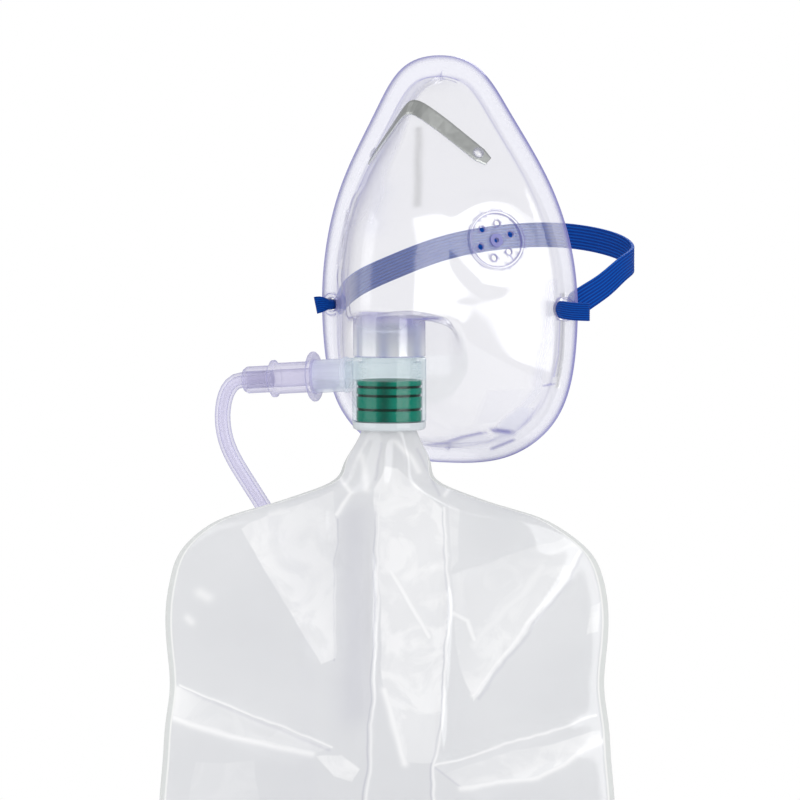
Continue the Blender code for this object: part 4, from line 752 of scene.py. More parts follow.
def strap_route():
    """Points of the strap's middle line, from its right tail round the back to its left tail."""
    eye = eye_place(1.0)
    side, across, share, ahead, up = np.array(STRAP_POINTS).T
    middle = eye.y + (WALL - EYE_PROUD) / 2.0
    y = np.where(share > 0.0, share * STRAP_SPAN_BACK, middle + ahead * MM)
    return np.stack([side * eye.x + across * MM, y, eye.z + up * MM], axis=1)


def side_frame(distance):
    """Frame on the side port's axis, its Z pointing away from the connector."""
    flat = math.cos(SIDE_DROOP)
    axis = (math.cos(SIDE_ANGLE) * flat, math.sin(SIDE_ANGLE) * flat, -math.sin(SIDE_DROOP))
    origin = PORT_AXIS + Vector((0.0, 0.0, SIDE_HEIGHT)) + Vector(axis) * distance
    return frame_at(origin, axis, (0.0, 0.0, 1.0))


def bag_point(across, behind, z):
    """World point from the bag's own axes: across its width, behind its plane, height."""
    x = across * math.cos(BAG_TURN) - behind * math.sin(BAG_TURN)
    y = across * math.sin(BAG_TURN) + behind * math.cos(BAG_TURN)
    return np.stack([x, y - PORT_FORWARD, z + 0.0 * x], axis=-1)


def bag_half_width(drop):
    """Half width of the bag at a drop below the ring, through its shoulders to the foot."""
    neck = [(d * MM, NECK_RADIUS + out * MM) for d, out in BAG_NECK]
    sides = [(d * MM, share * BAG_HALF_WIDTH) for d, share in BAG_SIDES]
    foot = [(BAG_DROP - d * MM, share * BAG_HALF_WIDTH) for d, share in BAG_FOOT]
    knots, widths = np.array(neck + sides + foot).T
    return smooth_line(knots, widths[:, None], drop)[:, 0]


def bag_centre(drop):
    """Sideways drift of the bag's middle: its left shoulder hangs a little lower."""
    shoulder = np.exp(-(((drop - 30.0 * MM) / (12.0 * MM)) ** 2))
    return -0.8 * MM * smoothstep(drop / (20.0 * MM)) - 1.7 * MM * shoulder


def bag_relief(across, drop):
    """Height of the film's creases: for each, a crest that falls off to both sides and ends."""
    relief = np.zeros(np.broadcast(across, drop).shape)
    for x0, d0, x1, d1, height, width in np.array(BAG_CREASES) * MM:
        span = np.array([x1 - x0, d1 - d0])
        length = np.hypot(*span)
        run = ((across - x0) * span[0] + (drop - d0) * span[1]) / length**2
        off = ((across - x0) * span[1] - (drop - d0) * span[0]) / length
        ends = smoothstep((run + 0.05) / 0.25) * smoothstep((1.05 - run) / 0.25)
        relief = relief + height * ends * np.exp(-np.abs(off) / width)
    return relief


def clear_of_coil(out, radius):
    """Height above or below the coil's centre at which a rod of that radius just clears it."""
    near = COIL_MEAN_RADIUS + out - radius
    return math.sqrt((COIL_MEAN_RADIUS + COIL_HALF_WIDTH + GAP) ** 2 - near**2)


def tube_route():
    """Points of the tube from inside the adaptor, down behind the bag and on to the coil."""
    ahead = side_frame(0.0)
    end = SIDE_REACH + GAP + ADAPTOR_LENGTH
    start = [ahead @ Vector((0.0, 0.0, end + d * MM)) for d in (-10.0, -5.0, 0.0, 2.0)]
    coil_x, coil_y, coil_z = COIL_CENTRE
    fall = coil_x - COIL_MEAN_RADIUS - COIL_ENTRY_OUT
    deep = coil_y + COIL_LAYER
    low = (
        (0.3 * TUBE_RUN[-1][0] * MM + 0.7 * fall, 25.0 * MM, -138.0 * MM),
        (fall, deep, -160.0 * MM),
        (fall, deep, -185.0 * MM),
        (fall, deep, coil_z + clear_of_coil(COIL_ENTRY_OUT, TUBE_RADIUS)),
    )
    return np.vstack([start, bag_point(*np.vstack([np.array(TUBE_RUN) * MM, low]).T)])


def coil_turns():
    """Points of the stored turns: in, out, in and out again, each passing over to the next.

    Layers of three, two, three and two turns lie in each other's hollows, a diameter apart.
    The frame at the coil's centre has its Z towards the bag, X across it and Y upward.
    """
    stops = [
        (COIL_MEAN_RADIUS + out * MM, -COIL_LAYER + layer * (2.0 * COIL_LAYER / 3.0))
        for layer, row in enumerate(COIL_ROWS)
        for out in row
    ]
    stops = np.array(stops + stops[-1:])
    t = np.arange(COIL_STEPS) / COIL_STEPS
    share = smoothstep((t - COIL_CROSSING) / (1.0 - COIL_CROSSING))[:, None]
    radius, deep = np.moveaxis(stops[:-1, None] + np.diff(stops, axis=0)[:, None] * share, -1, 0)
    turn = math.pi + 2.0 * math.pi * t
    turns = np.stack([radius * np.cos(turn), radius * np.sin(turn), deep], axis=-1)
    r, z = stops[-1]
    past = clear_of_coil(COIL_EXIT_OUT, END_NECK_RADIUS) + 10.0 * MM
    points = np.vstack([turns.reshape(-1, 3), [(-r, 0.0, z), (-r, -8.0 * MM, z), (-r, -past, z)]])
    axis = (math.sin(BAG_TURN), -math.cos(BAG_TURN), 0.0)
    side = (math.cos(BAG_TURN), math.sin(BAG_TURN), 0.0)
    place = np.array(frame_at(bag_point(*np.array(COIL_CENTRE)), axis, side))
    return points @ place[:3, :3].T + place[:3, 3]


def tube_line():
    """Centreline of the whole tube, evenly spaced, from inside the adaptor to the connector."""
    run = np.vstack([tube_route(), coil_turns()])
    knots = chord_knots(run)
    return smooth_line(knots, run, np.linspace(0.0, knots[-1], int(knots[-1] / TUBE_STEP)))


def srgb(colour):
    """Linear colour of an sRGB hex value; a property's colour is linear already."""
    if not isinstance(colour, str):
        return (*colour, 1.0)
    parts = [int(colour[k : k + 2], 16) / 255.0 for k in (1, 3, 5)]
    return (*(c / 12.92 if c <= 0.04045 else ((c + 0.055) / 1.055) ** 2.4 for c in parts), 1.0)


WHITE = srgb("#ffffff")


def add_node(tree, kind, *values, out=0, **settings):
    """Adds a shader node and gives one of its outputs.

    The values fill its first inputs, and a setting in capitals fills the input of that name:
    a socket is linked, and anything else is the input's own value. The other settings are the
    node's. A kind in capitals is the operation of a Math node.
    """
    if kind.isupper():
        kind, settings["operation"] = "Math", kind
    node = tree.nodes.new("ShaderNode" + kind)
    inputs = dict(enumerate(values))
    for key, value in settings.items():
        if key[0].isupper():
            inputs[key.replace("_", " ")] = value
        else:
            setattr(node, key, value)
    for key, value in inputs.items():
        if isinstance(value, bpy.types.NodeSocket):
            tree.links.new(value, node.inputs[key])
        else:
            node.inputs[key].default_value = value
    return node.outputs[out] if node.outputs else node


def new_material(name):
    """Empty material, what adds nodes to it, and the object's own coordinates."""
    mat = bpy.data.materials.new(name)
    mat.use_nodes = True
    mat.node_tree.nodes.clear()
    add = partial(add_node, mat.node_tree)
    return mat, add, add("TexCoord", out="Object")


def facing_power(add, power, **normal):
    """Zero where the surface faces the eye, one at its outline."""
    return add("POWER", add("LayerWeight", Blend=0.5, out="Facing", **normal), power)


def gloss_share(add, normal, floor, reach):
    """Mirror share of a clear plastic: little face on, most of it at the outline."""
    return add("MULTIPLY_ADD", facing_power(add, 4.0, Normal=normal), reach, floor)


def bell(add, square, width):
    """exp(-(off / width)^2), from the square of off."""
    return add("POWER", math.e, add("MULTIPLY", square, -1.0 / width**2))


def turn_share(add, place, angle, width):
    """Bell share round the port's axis about an angle, in degrees."""
    axes = add("SeparateXYZ", place).node.outputs
    forward = add("MULTIPLY_ADD", axes[1], -1.0, -PORT_FORWARD)
    turn = add("ARCTAN2", axes[0], forward)
    turn = add("SUBTRACT", turn, math.radians(angle))
    return bell(add, add("MULTIPLY", turn, turn), math.radians(width))


def most_of(add, share_of, rows, *place):
    """Largest share of several drawn forms."""
    most = 0.0
    for row in rows:
        most = add("MAXIMUM", most, share_of(add, *place, *row))
    return most


def panel_share(add, x, y, white, shining, corners):
    """Share of a convex drawn panel: full inside, with one edge that shines more as a painted
    highlight.
    """
    depth, level = None, white
    for k, a in enumerate(corners):
        b = corners[(k + 1) % len(corners)]
        run = math.dist(a, b)
        nx, ny = (a[1] - b[1]) / run, (b[0] - a[0]) / run
        inner = add("MULTIPLY_ADD", y, ny, -nx * a[0] - ny * a[1])
        inner = add("MULTIPLY_ADD", x, nx, inner)
        depth = inner if depth is None else add("MINIMUM", depth, inner)
        if k == shining:
            shine = add("POWER", math.e, add("MULTIPLY", inner, -0.16))
            level = add("MULTIPLY_ADD", shine, 0.5, white)
    share = add("Clamp", add("MULTIPLY_ADD", depth, 1.6, 0.5))
    return add("MULTIPLY", share, level)


def line_share(add, x, y, white, half_width, points):
    """Share of a drawn line, for painted highlights and painted shade: a bell of the distance to
    the nearest of its stretches.
    """
    best = None
    for a, b in zip(points, points[1:]):
        run = math.dist(a, b)
        ux, uy = (b[0] - a[0]) / run, (b[1] - a[1]) / run
        along = add("MULTIPLY_ADD", y, uy, -ux * a[0] - uy * a[1])
        along = add("MULTIPLY_ADD", x, ux, along)
        off = add("MULTIPLY_ADD", y, ux, uy * a[0] - ux * a[1])
        off = add("MULTIPLY_ADD", x, -uy, off)
        past = add("ABSOLUTE", add("SUBTRACT", along, 0.5 * run))
        past = add("MAXIMUM", add("SUBTRACT", past, 0.5 * run), 0.0)
        far = add("MULTIPLY_ADD", past, past, add("MULTIPLY", off, off))
        best = far if best is None else add("MINIMUM", best, far)
    return add("MULTIPLY", bell(add, best, half_width), white)


def mask_marks(add, place, colour, haze, line, gloss):
    """Draws the mask wall's thicker places deepened by painted dark reflections and painted shade,
    its painted highlights and painted shade lines, moulded lines and the hazy socket with painted
    shade streaks.
    """
    quiet, thick, drawn, socket = (
        add("Attribute", out="Fac", attribute_name=name)
        for name in ("quiet", "thick", "line", "socket")
    )
    axes = add("SeparateXYZ", place).node.outputs
    spot = [add("MULTIPLY", axes[k], 1.0 / MM) for k in (0, 2)]
    # Painted dark reflections and painted shade bands deepen the thick tint
    thick = add("MAXIMUM", thick, most_of(add, panel_share, WALL_PAINTED_DARK_REFLECTIONS, *spot))
    thick = add("MAXIMUM", thick, most_of(add, line_share, WALL_PAINTED_SHADE_BANDS, *spot))
    colour = add("MixRGB", thick, colour, srgb("#dfe0ef"))
    haze = add("MULTIPLY_ADD", thick, 0.3, haze)
    # Painted shade streaks round the socket, lilac on white
    streaks = most_of(add, turn_share, SOCKET_PAINTED_SHADE_STREAKS, place)
    colour = add("MixRGB", socket, colour, add("MixRGB", streaks, WHITE, srgb("#cfd3ea")))
    haze = add("MULTIPLY_ADD", socket, 0.25, haze)
    # Painted highlights: white lines with some more gloss
    light = most_of(add, line_share, WALL_PAINTED_HIGHLIGHTS, *spot)
    colour = add("MixRGB", light, colour, WHITE)
    line = add("MULTIPLY", line, add("SUBTRACT", 1.0, quiet))
    drawn = add("MULTIPLY", add("POWER", drawn, 2.5), 0.85)
    line = add("MAXIMUM", line, drawn)
    # Painted shade lines in the tinted line's colour
    line = add("MAXIMUM", line, most_of(add, line_share, WALL_PAINTED_SHADE_LINES, *spot))
    rise = add("SUBTRACT", axes[2], SOCKET_END)
    foot = bell(add, add("MULTIPLY", rise, rise), SOCKET_FOOT_LINE)
    foot = add("MULTIPLY", add("MULTIPLY", foot, socket), 0.5)
    line = add("MAXIMUM", line, foot)
    gloss = add("MULTIPLY_ADD", socket, 0.1, gloss)
    gloss = add("MULTIPLY_ADD", light, 0.4, gloss)
    return colour, haze, line, gloss


def tee_marks(add, place, colour, haze, line, gloss):
    """Clears the connector's skirt, so that the band shows, and turns its port's end lilac."""
    axes = add("SeparateXYZ", place).node.outputs
    rise = add("MULTIPLY_ADD", axes[2], 1.0 / MM, 0.5 - (TEE_BOTTOM + BAND_LENGTH) / MM)
    thin = add("MULTIPLY_ADD", add("Clamp", rise), 0.97, 0.03)
    haze = add("MULTIPLY", haze, thin)
    forward = add("ADD", axes[1], PORT_FORWARD)
    square = add("MULTIPLY", axes[0], axes[0])
    out = add("SQRT", add("MULTIPLY_ADD", forward, forward, square))
    reach = add("Clamp", add("MULTIPLY_ADD", out, 1.0 / MM, -LILAC_FROM))
    colour = add("MixRGB", reach, colour, srgb("#f4f5ff"))
    haze = add("MULTIPLY_ADD", reach, 0.4, haze)
    return colour, haze, line, gloss


def vinyl_material(name, tint, body, edge, haze, blur, shine, outline=(14.0, 0.75), marks=None):
    """Clear moulded plastic: a pale haze face on, a thin tinted line at its outlines, a gloss.

    The haze is half chalk and half translucent, the blur and shine are the gloss's, and the
    outline is a power and a strength. The marks draw what only one piece has.
    """
    mat, add, place = new_material(name)
    ripple = add("TexNoise", Vector=place, Scale=45.0, Detail=1.5)
    bump = add("Bump", Height=ripple, Strength=0.18, Distance=0.0015)
    hazy = add("MULTIPLY_ADD", facing_power(add, 1.5), 1.6 * haze, 0.6 * haze)
    line = add("MULTIPLY", facing_power(add, outline[0]), outline[1])
    look = (srgb(body), hazy, line, gloss_share(add, bump, shine, 0.35))
    colour, hazy, line, glossy = marks(add, place, *look) if marks else look
    pale = add("BsdfTranslucent", colour)
    chalk = add("BsdfDiffuse", colour, Normal=bump)
    clear = add("BsdfTransparent", srgb(tint))
    base = add("MixShader", hazy, clear, add("MixShader", 0.5, pale, chalk))
    base = add("MixShader", line, base, add("BsdfDiffuse", srgb(edge)))
    gloss = add("BsdfGlossy", WHITE, Roughness=blur, Normal=bump)
    add("OutputMaterial", add("MixShader", glossy, base, gloss))
    return mat


def plain_material(name, colour, roughness, metallic=0.0, grain=0.0, scale=400.0):
    """Opaque plastic or metal with a fine grain in its gloss and surface."""
    mat, add, place = new_material(name)
    noise = add("TexNoise", Vector=place, Scale=scale, Detail=3.0)
    shader = add(
        "BsdfPrincipled",
        Base_Color=srgb(colour),
        Roughness=add("MULTIPLY_ADD", noise, grain, roughness),
        Metallic=metallic,
        Normal=add("Bump", Height=noise, Strength=0.1, Distance=0.0003),
    )
    add("OutputMaterial", shader)
    return mat


def band_material(green):
    """Green moulded sleeve: glossy, darker to the left with a painted shade streak, and with
    painted shade in three dark rings in its grooves.
    """
    mat, add, place = new_material("green_plastic")
    height = add("SeparateXYZ", place, out=2)
    # Painted shade in the three grooves: dark rings
    ring = 0.0
    for share in BAND_GROOVE_SHARES:
        z = TEE_BOTTOM + BAND_LENGTH * (1.0 - share)
        off = add("ABSOLUTE", add("SUBTRACT", height, z))
        edge = add("MULTIPLY_ADD", off, -4.0 / MM, 2.0 * BAND_GROOVE_WIDTH / MM + 0.5)
        ring = add("MAXIMUM", ring, edge)
    # Painted shade: a dark streak round the axis, 24 degrees from the front
    shade = add("MULTIPLY", turn_share(add, place, 24.0, 12.0), 0.7)
    tone = add("MixRGB", shade, srgb(green), srgb("#002e25"))
    tone = add("MixRGB", add("Clamp", ring), tone, srgb("#00251c"))
    shader = add("BsdfPrincipled", Base_Color=tone, Roughness=0.12, Specular_IOR_Level=0.12)
    add("OutputMaterial", shader)
    return mat


def film_material(film):
    """Blown bag film: a grey haze, milky white where the layers part, painted highlights on its
    panels and thin creases, painted shade in its folds, a gloss.
    """
    mat, add, place = new_material("bag_film")
    wide = add("TexNoise", Vector=place, Scale=22.0, Detail=2.0)
    bump = add("Bump", Height=wide, Strength=0.25, Distance=0.003)
    axes = add("SeparateXYZ", place).node.outputs
    wobble = add("TexNoise", Vector=place, Scale=60.0, Detail=2.0)
    shift = add("MULTIPLY_ADD", wobble, 4.0, -2.0)
    x = add("MULTIPLY_ADD", axes[0], math.cos(BAG_TURN) / MM, shift)
    x = add("MULTIPLY_ADD", axes[1], math.sin(BAG_TURN) / MM, x)
    x = add("ADD", x, PORT_FORWARD * math.sin(BAG_TURN) / MM)
    y = add("ADD", add("MULTIPLY_ADD", axes[2], -1.0 / MM, RING_BOTTOM / MM), shift)
    cloud = add("TexNoise", Vector=place, Scale=55.0, Detail=4.0, Distortion=1.5)
    blot = add("Clamp", add("MULTIPLY_ADD", cloud, 8.0, -3.6))
    blot = add("MULTIPLY_ADD", blot, 0.5, 0.5)
    # White panels, milky where the layers part and painted highlights, and painted glints on the
    # creases
    white = add("MULTIPLY", most_of(add, panel_share, FILM_MILK_AND_PAINTED_HIGHLIGHT_PANELS, x, y), blot)
    white = add("MAXIMUM", white, most_of(add, line_share, FILM_PAINTED_GLINT_LINES, x, y))
    white = add("ADD", white, add("MULTIPLY_ADD", wide, 0.5, -0.17))
    white = add("Clamp", white)
    # Painted shade in the folds
    fold_shade = most_of(add, line_share, FILM_PAINTED_FOLD_SHADE, x, y)
    fold_shade = add("MULTIPLY", fold_shade, add("SUBTRACT", 1.0, white))
    weld = add("Attribute", out="Fac", attribute_name="weld")
    brink = add("MULTIPLY", weld, add("SUBTRACT", 1.0, weld))
    brink = add("POWER", add("MULTIPLY", brink, 4.0), 2.0)
    tone = srgb(film)
    shades = (white, "#ffffff"), (fold_shade, "#c3c3ce"), (weld, "#e3e5e4"), (brink, "#fbfbfa")
    for share, shade in shades:
        tone = add("MixRGB", share, tone, srgb(shade))
    body = add("BsdfDiffuse", tone, Normal=bump)
    glow = add("BsdfTranslucent", tone, Normal=bump)
    share = add("MULTIPLY_ADD", facing_power(add, 2.0, Normal=bump), 0.14, 0.84)
    clear = add("BsdfTransparent", srgb("#f4f4f5"))
    base = add("MixShader", share, clear, add("MixShader", 0.4, body, glow))
    gloss = add("BsdfGlossy", WHITE, Roughness=0.09, Normal=bump)
    add("OutputMaterial", add("MixShader", gloss_share(add, bump, 0.04, 0.3), base, gloss))
    return mat


def elastic_material(groove, rib_lit_colour):
    """Woven elastic: lengthwise ribs across the band's width, painted lighter with the grooves
    between painted in shade, and a fine cross weave.
    """
    mat, add, _ = new_material("blue_elastic")
    uv = add("SeparateXYZ", add("UVMap", uv_map="UVMap")).node.outputs
    across = add("MULTIPLY", uv[1], 2.0 * math.pi * STRAP_RIBS)
    rib = add("MULTIPLY_ADD", add("COSINE", across), 0.5, 0.5)
    along = add("SINE", add("MULTIPLY", uv[0], 2.0 * math.pi / STRAP_WEAVE))
    weave = add("MULTIPLY_ADD", along, 0.05, rib)
    # Painted light and shade: the ribs' blue lighter, the grooves' darker
    shader = add(
        "BsdfPrincipled",
        Base_Color=add("MixRGB", rib, srgb(groove), srgb(rib_lit_colour)),
        Roughness=0.55,
        Normal=add("Bump", Height=weave, Strength=0.8, Distance=0.0005),
        Specular_IOR_Level=0.1,
    )
    add("OutputMaterial", shader)
    return mat


def finish_piece(obj, body, nodes, sharp=None):
    """Smooth shading, and the piece's body and the solids it stands for."""
    obj.data.shade_smooth()
    if sharp is not None:
        obj.data.set_sharp_from_angle(angle=math.radians(sharp))
    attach(obj, body)
    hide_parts(*nodes)


def build_mask(mat):
    """Mask wall: the two skins of mask_surface(u, s), with socket, discs, eyes and pegs.

    x = s edge(u), depth falls as a rounded wedge in the nose and as |s|^2.6 at the chin.
    """
    shell = shell_sheet(mat)
    adds, cuts = [], []
    port_socket(adds, cuts, mat)
    for side in (1.0, -1.0):
        exhalation_disc(adds, cuts, side, mat)
        strap_eye(adds, cuts, side, mat)
        clip_peg(adds, side, mat)
    combine(shell, adds, mat, "UNION")
    combine(shell, cuts, mat, "DIFFERENCE")
    clean_mesh(shell, outward=False)
    mark_edges(shell)
    finish_piece(shell, "mask", ["mask_shell"], 40.0)


def mark_edges(shell):
    """Attributes of the mask, each a share from 0 to 1.

    line is the tinted line of the rim, of sharp edges and of the shelf's ridge, thick the
    depth of colour in the flange and socket and painted shade on the nose's left side, socket
    the socket's wall, and quiet where outlines fade: on the left disc and the pegs.
    """
    outer, _ = rim_curves(np.linspace(0.0, 1.0, 500))
    path = np.stack([outer[:, 0], rim_y(outer[:, 1]) + 0.5 * WALL, outer[:, 1]], axis=1)
    verts = np.empty(len(shell.data.vertices) * 3, np.float32)
    shell.data.vertices.foreach_get("co", verts)
    verts = verts.reshape(-1, 3)
    x, y, z = verts.T
    spots = np.stack([np.abs(x), y, z], axis=1)
    far = np.full(len(spots), 1.0)
    for part in np.split(path, 10):
        off = np.linalg.norm(spots[:, None, :] - part[None], axis=2)
        far = np.minimum(far, off.min(axis=1))
    broad = RIM_LINE + RIM_LINE_MORE * smoothstep((x + 5.0 * MM) / (20.0 * MM))
    line = np.exp(-((far / broad) ** 2))
    bm = bmesh.new()
    bm.from_mesh(shell.data)
    for edge in bm.edges:
        if len(edge.link_faces) == 2 and edge.calc_face_angle(0.0) > SHARP_EDGE:
            for vert in edge.verts:
                line[vert.index] = max(line[vert.index], 0.9)
    bm.free()
    out = np.hypot(x, y + PORT_FORWARD)
    low = smoothstep((SHELF_HEIGHT - 1.0 * MM - z) / (2.0 * MM))
    near = smoothstep((PORT_BORE_RADIUS + PORT_WALL + 1.5 * MM - out) / (1.0 * MM))
    flange = smoothstep((FLANGE_WIDTH_TOP - far) / (1.0 * MM))
    # Painted shade: the nose's left side is drawn darker
    nose = smoothstep(-x / (1.2 * MM)) * smoothstep((z + 4.0 * MM) / (26.0 * MM))
    thick = np.max([low * near, 0.6 * flange, 0.45 * nose], axis=0)
    foot = np.exp(-(((far - FLANGE_WIDTH_TOP) / (0.6 * MM)) ** 2))
    line = np.maximum(line, 0.7 * foot)
    line = line * (1.0 - 0.8 * near * smoothstep((SHELF_HEIGHT + 2.0 * MM - z) / (1.0 * MM)))
    ridge = np.exp(-(((z - SHELF_HEIGHT + 0.6 * MM) / (0.8 * MM)) ** 2))
    line = np.maximum(line, 0.85 * ridge * smoothstep((21.0 * MM - out) / (5.0 * MM)))
    quiet = np.zeros(len(verts))
    for spot, reach, soft, share in (
        ((-DISC_X, DISC_Z), DISC_RADIUS + 2.5 * MM, 1.0 * MM, 1.0),
        ((CLIP_HOLE_X, CLIP_HOLE_Z), PEG_HEAD_RADIUS + 1.2 * MM, 0.4 * MM, 0.7),
        ((-CLIP_HOLE_X, CLIP_HOLE_Z), PEG_HEAD_RADIUS + 1.2 * MM, 0.4 * MM, 0.7),
    ):
        away = np.linalg.norm(verts - surface_frame(*spot)[0], axis=1)
        quiet = np.maximum(quiet, share * smoothstep((reach - away) / soft))
    add_attribute(shell, "line", line * (1.0 - 0.9 * quiet))
    add_attribute(shell, "thick", thick)
    add_attribute(shell, "quiet", 0.9 * quiet)
    add_attribute(shell, "socket", low * near)


def build_strap(mat):
    """Elastic band: a ribbed flat section swept along the strap's route, bunched at each eye.

    Across its width v it is 0.78 + 0.22 |sin| thick, and in an eye an oval.
    """
    route = strap_route()
    knots = chord_knots(route)
    at = np.linspace(0.0, knots[-1], STRAP_STATIONS)
    centres = smooth_line(knots, route, at)
    along = unit(np.gradient(centres, axis=0))
    up = np.array([0.0, 0.0, 1.0])
    wide = unit(up - (along @ up)[:, None] * along)
    thick = np.cross(along, wide)
    first, last = (knots[k] for k in STRAP_EYES)
    away = np.minimum(np.abs(at - first), np.abs(at - last)) - STRAP_PINCH_HALF_LENGTH
    pinch = np.exp(-((np.maximum(away, 0.0) / STRAP_PINCH_FADE) ** 2))[:, None]
    v = np.linspace(-1.0, 1.0, 8 * STRAP_RIBS + 1)
    rib = 0.78 + 0.22 * np.abs(np.sin(0.5 * math.pi * STRAP_RIBS * (v + 1.0)))
    rib[[0, -1]] = 0.45
    oval = np.sqrt(np.maximum(1.0 - (0.98 * v) ** 2, 0.0))
    tail = (at < first) | (at > last)
    full = np.where(tail, STRAP_TAIL_WIDTH, STRAP_WIDTH)[:, None] / 2.0
    half_wide = full + (STRAP_PINCH - full) * pinch
    half_thick = STRAP_THICKNESS / 2.0 + (STRAP_PINCH - STRAP_THICKNESS / 2.0) * pinch
    lift = half_thick * (rib * (1.0 - pinch) + oval * pinch)
    spine = centres[:, None] + (half_wide * v)[..., None] * wide[:, None]
    rise = lift[..., None] * thick[:, None]
    rings = np.concatenate([spine + rise, (spine - rise)[:, ::-1]], axis=1)
    steps, sides = rings.shape[:2]
    ends = [list(range(sides))[::-1], list(range((steps - 1) * sides, steps * sides))]
    faces = grid_faces(steps, sides) + ends
    strap = add_mesh("strap_band", rings.reshape(-1, 3), faces, mat)
    share = np.concatenate([v, v[::-1]]) * 0.5 + 0.5
    uv = np.stack(np.broadcast_arrays(at[:, None], share), axis=-1).reshape(-1, 2)
    layer = strap.data.uv_layers.new(name="UVMap")
    layer.data.foreach_set("uv", uv[np.concatenate(faces)].astype(np.float32).ravel())
    clean_mesh(strap)
    finish_piece(strap, "mask", ["elastic_strap"], 50.0)


def film_layer(front, xi, drop, seam):
    """Film of one side: across the width by xi, down by drop, and its flat weld's share.

    Its depth is a circle's at the neck and (1 - x^2)^0.8 below, gathered in ripples and
    lifted by the creases.
    """
    under = np.maximum(drop, 0.0)
    width = bag_half_width(under)
    weld = seam * smoothstep((drop - 4.0 * MM) / (16.0 * MM))
    foot = np.clip((BAG_DROP - drop) / (30.0 * MM), 0.0, 1.0)
    depth = BAG_HALF_DEPTH + (NECK_RADIUS - BAG_HALF_DEPTH) * (1.0 - smoothstep(drop / (26 * MM)))
    depth = depth * np.sqrt(1.0 - (1.0 - foot) ** 2)
    across = width[:, None] * xi[None, :]
    share = np.minimum(np.abs(across) / (width - weld)[:, None], 1.0)
    round_share = (1.0 - smoothstep(drop / (40.0 * MM)))[:, None]
    circle = np.sqrt(1.0 - share**2)
    pillow = (1.0 - share**2) ** 0.8
    bulge = (circle * round_share + pillow * (1.0 - round_share)) * depth[:, None]
    gather = smoothstep(drop / (6.0 * MM)) * (1.0 - smoothstep((drop - 14 * MM) / (26 * MM)))
    wave = np.cos(9.0 * np.arccos(np.clip(xi, -1, 1)))
    bulge = bulge - NECK_RADIUS * 0.07 * gather[:, None] * wave[None, :] * circle
    live = pillow * foot[:, None] ** 0.5 * smoothstep((drop - 20 * MM) / (14 * MM))[:, None]
    crease = bag_relief(across, drop[:, None]) * live
    half = np.maximum(bulge, BAG_EDGE)
    behind = -half - crease if front else half - 0.4 * crease
    flat = 1.0 - np.clip((1.0 - share) / 0.012, 0.0, 1.0)
    across = across + bag_centre(under)[:, None]
    return bag_point(across, behind, RING_BOTTOM - drop[:, None]), flat


def build_bag(mat, seam):
    """Bag film: two layers joined at the weld, round at the neck and flat at the foot."""
    xi = -np.cos(np.linspace(0.0, math.pi, BAG_COLUMNS + 1))
    top = RING_LENGTH + GAP + BAG_NECK_INSIDE
    drop = np.append(np.linspace(-top, 0.0, 6), np.linspace(0.0, BAG_DROP, BAG_ROWS)[1:])
    front, weld_front = film_layer(True, xi, drop, seam)
    back, weld_back = film_layer(False, xi, drop, seam)
    ring = np.concatenate([front, back[:, ::-1]], axis=1)
    rows, count = ring.shape[:2]
    left = (rows - 1) * count + np.arange(BAG_COLUMNS)[:, None]
    right = rows * count - 1 - np.arange(BAG_COLUMNS)[:, None]
    foot = np.hstack([left, left + 1, right - 1, right]).tolist()
    bag = add_mesh("bag_film", ring.reshape(-1, 3), grid_faces(rows, count) + foot, mat)
    add_attribute(bag, "weld", np.concatenate([weld_front, weld_back[:, ::-1]], axis=1))
    clean_mesh(bag)
    finish_piece(bag, "tee", ["reservoir_bag"])


def build_tube(mat, bore):
    """Oxygen tube: outer and inner wall carried along the tube's line with even twist."""
    line = tube_line()
    along = unit(np.gradient(line, axis=0))
    side = np.empty_like(line)
    guess = np.array([0.0, 0.0, 1.0])
    for k, t in enumerate(along):
        guess = unit(guess - t * (guess @ t))
        side[k] = guess
    other = np.cross(along, side)
    verts, faces = [], []
    for radius, sides, turn in ((TUBE_RADIUS, TUBE_SIDES, 1), (bore, BORE_SIDES, -1)):
        base = len(verts)
        angle = np.linspace(0.0, 2.0 * math.pi, sides, endpoint=False)[None, :, None]
        ring = np.cos(angle) * side[:, None] + np.sin(angle) * other[:, None]
        verts.extend((line[:, None] + radius * ring).reshape(-1, 3))
        first, last = range(base, base + sides), range(len(verts) - sides, len(verts))
        walls = grid_faces(len(line), sides, base=base) + [list(first)[::-1], list(last)]
        faces += [wall[::turn] for wall in walls]
    tube = add_mesh("tube_line", verts, faces, mat)
    finish_piece(tube, "tee", ["oxygen_tube", "oxygen_tube_coil"], 50.0)


def paint(node, mat):
    """Gives a CAD node's slots one material."""
    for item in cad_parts[node].material_slots:
        item.material = mat


def build_camera(settings):
    """Camera at the photograph's angle, far off with a long lens."""
    data = bpy.data.cameras.new("camera")
    data.lens = settings.lens
    data.sensor_width = 36.0
    data.clip_end = 50.0
    cam = bpy.data.objects.new("camera", data)
    bpy.context.scene.collection.objects.link(cam)
    azimuth, elevation = settings.azimuth, settings.elevation
    flat = math.cos(elevation)
    back = Vector((math.sin(azimuth) * flat, -math.cos(azimuth) * flat, math.sin(elevation)))
    cam.location = Vector(settings.target) + back * settings.distance
    cam.rotation_euler = (-back).to_track_quat("-Z", "Y").to_euler()
    bpy.context.scene.camera = cam


def build_world():
    """White behind the object, and a softer grey sky for light and reflections."""
    world = bpy.data.worlds.new("studio")
    world.use_nodes = True
    world.node_tree.nodes.clear()
    add = partial(add_node, world.node_tree)
    rays = add("LightPath").node.outputs
    seen, sky, dim = (add("Background", WHITE, strength) for strength in (1.0, 0.7, 0.3))
    sky = add("MixShader", rays["Is Glossy Ray"], sky, dim)
    add("OutputWorld", add("MixShader", rays["Is Camera Ray"], sky, seen))
    bpy.context.scene.world = world


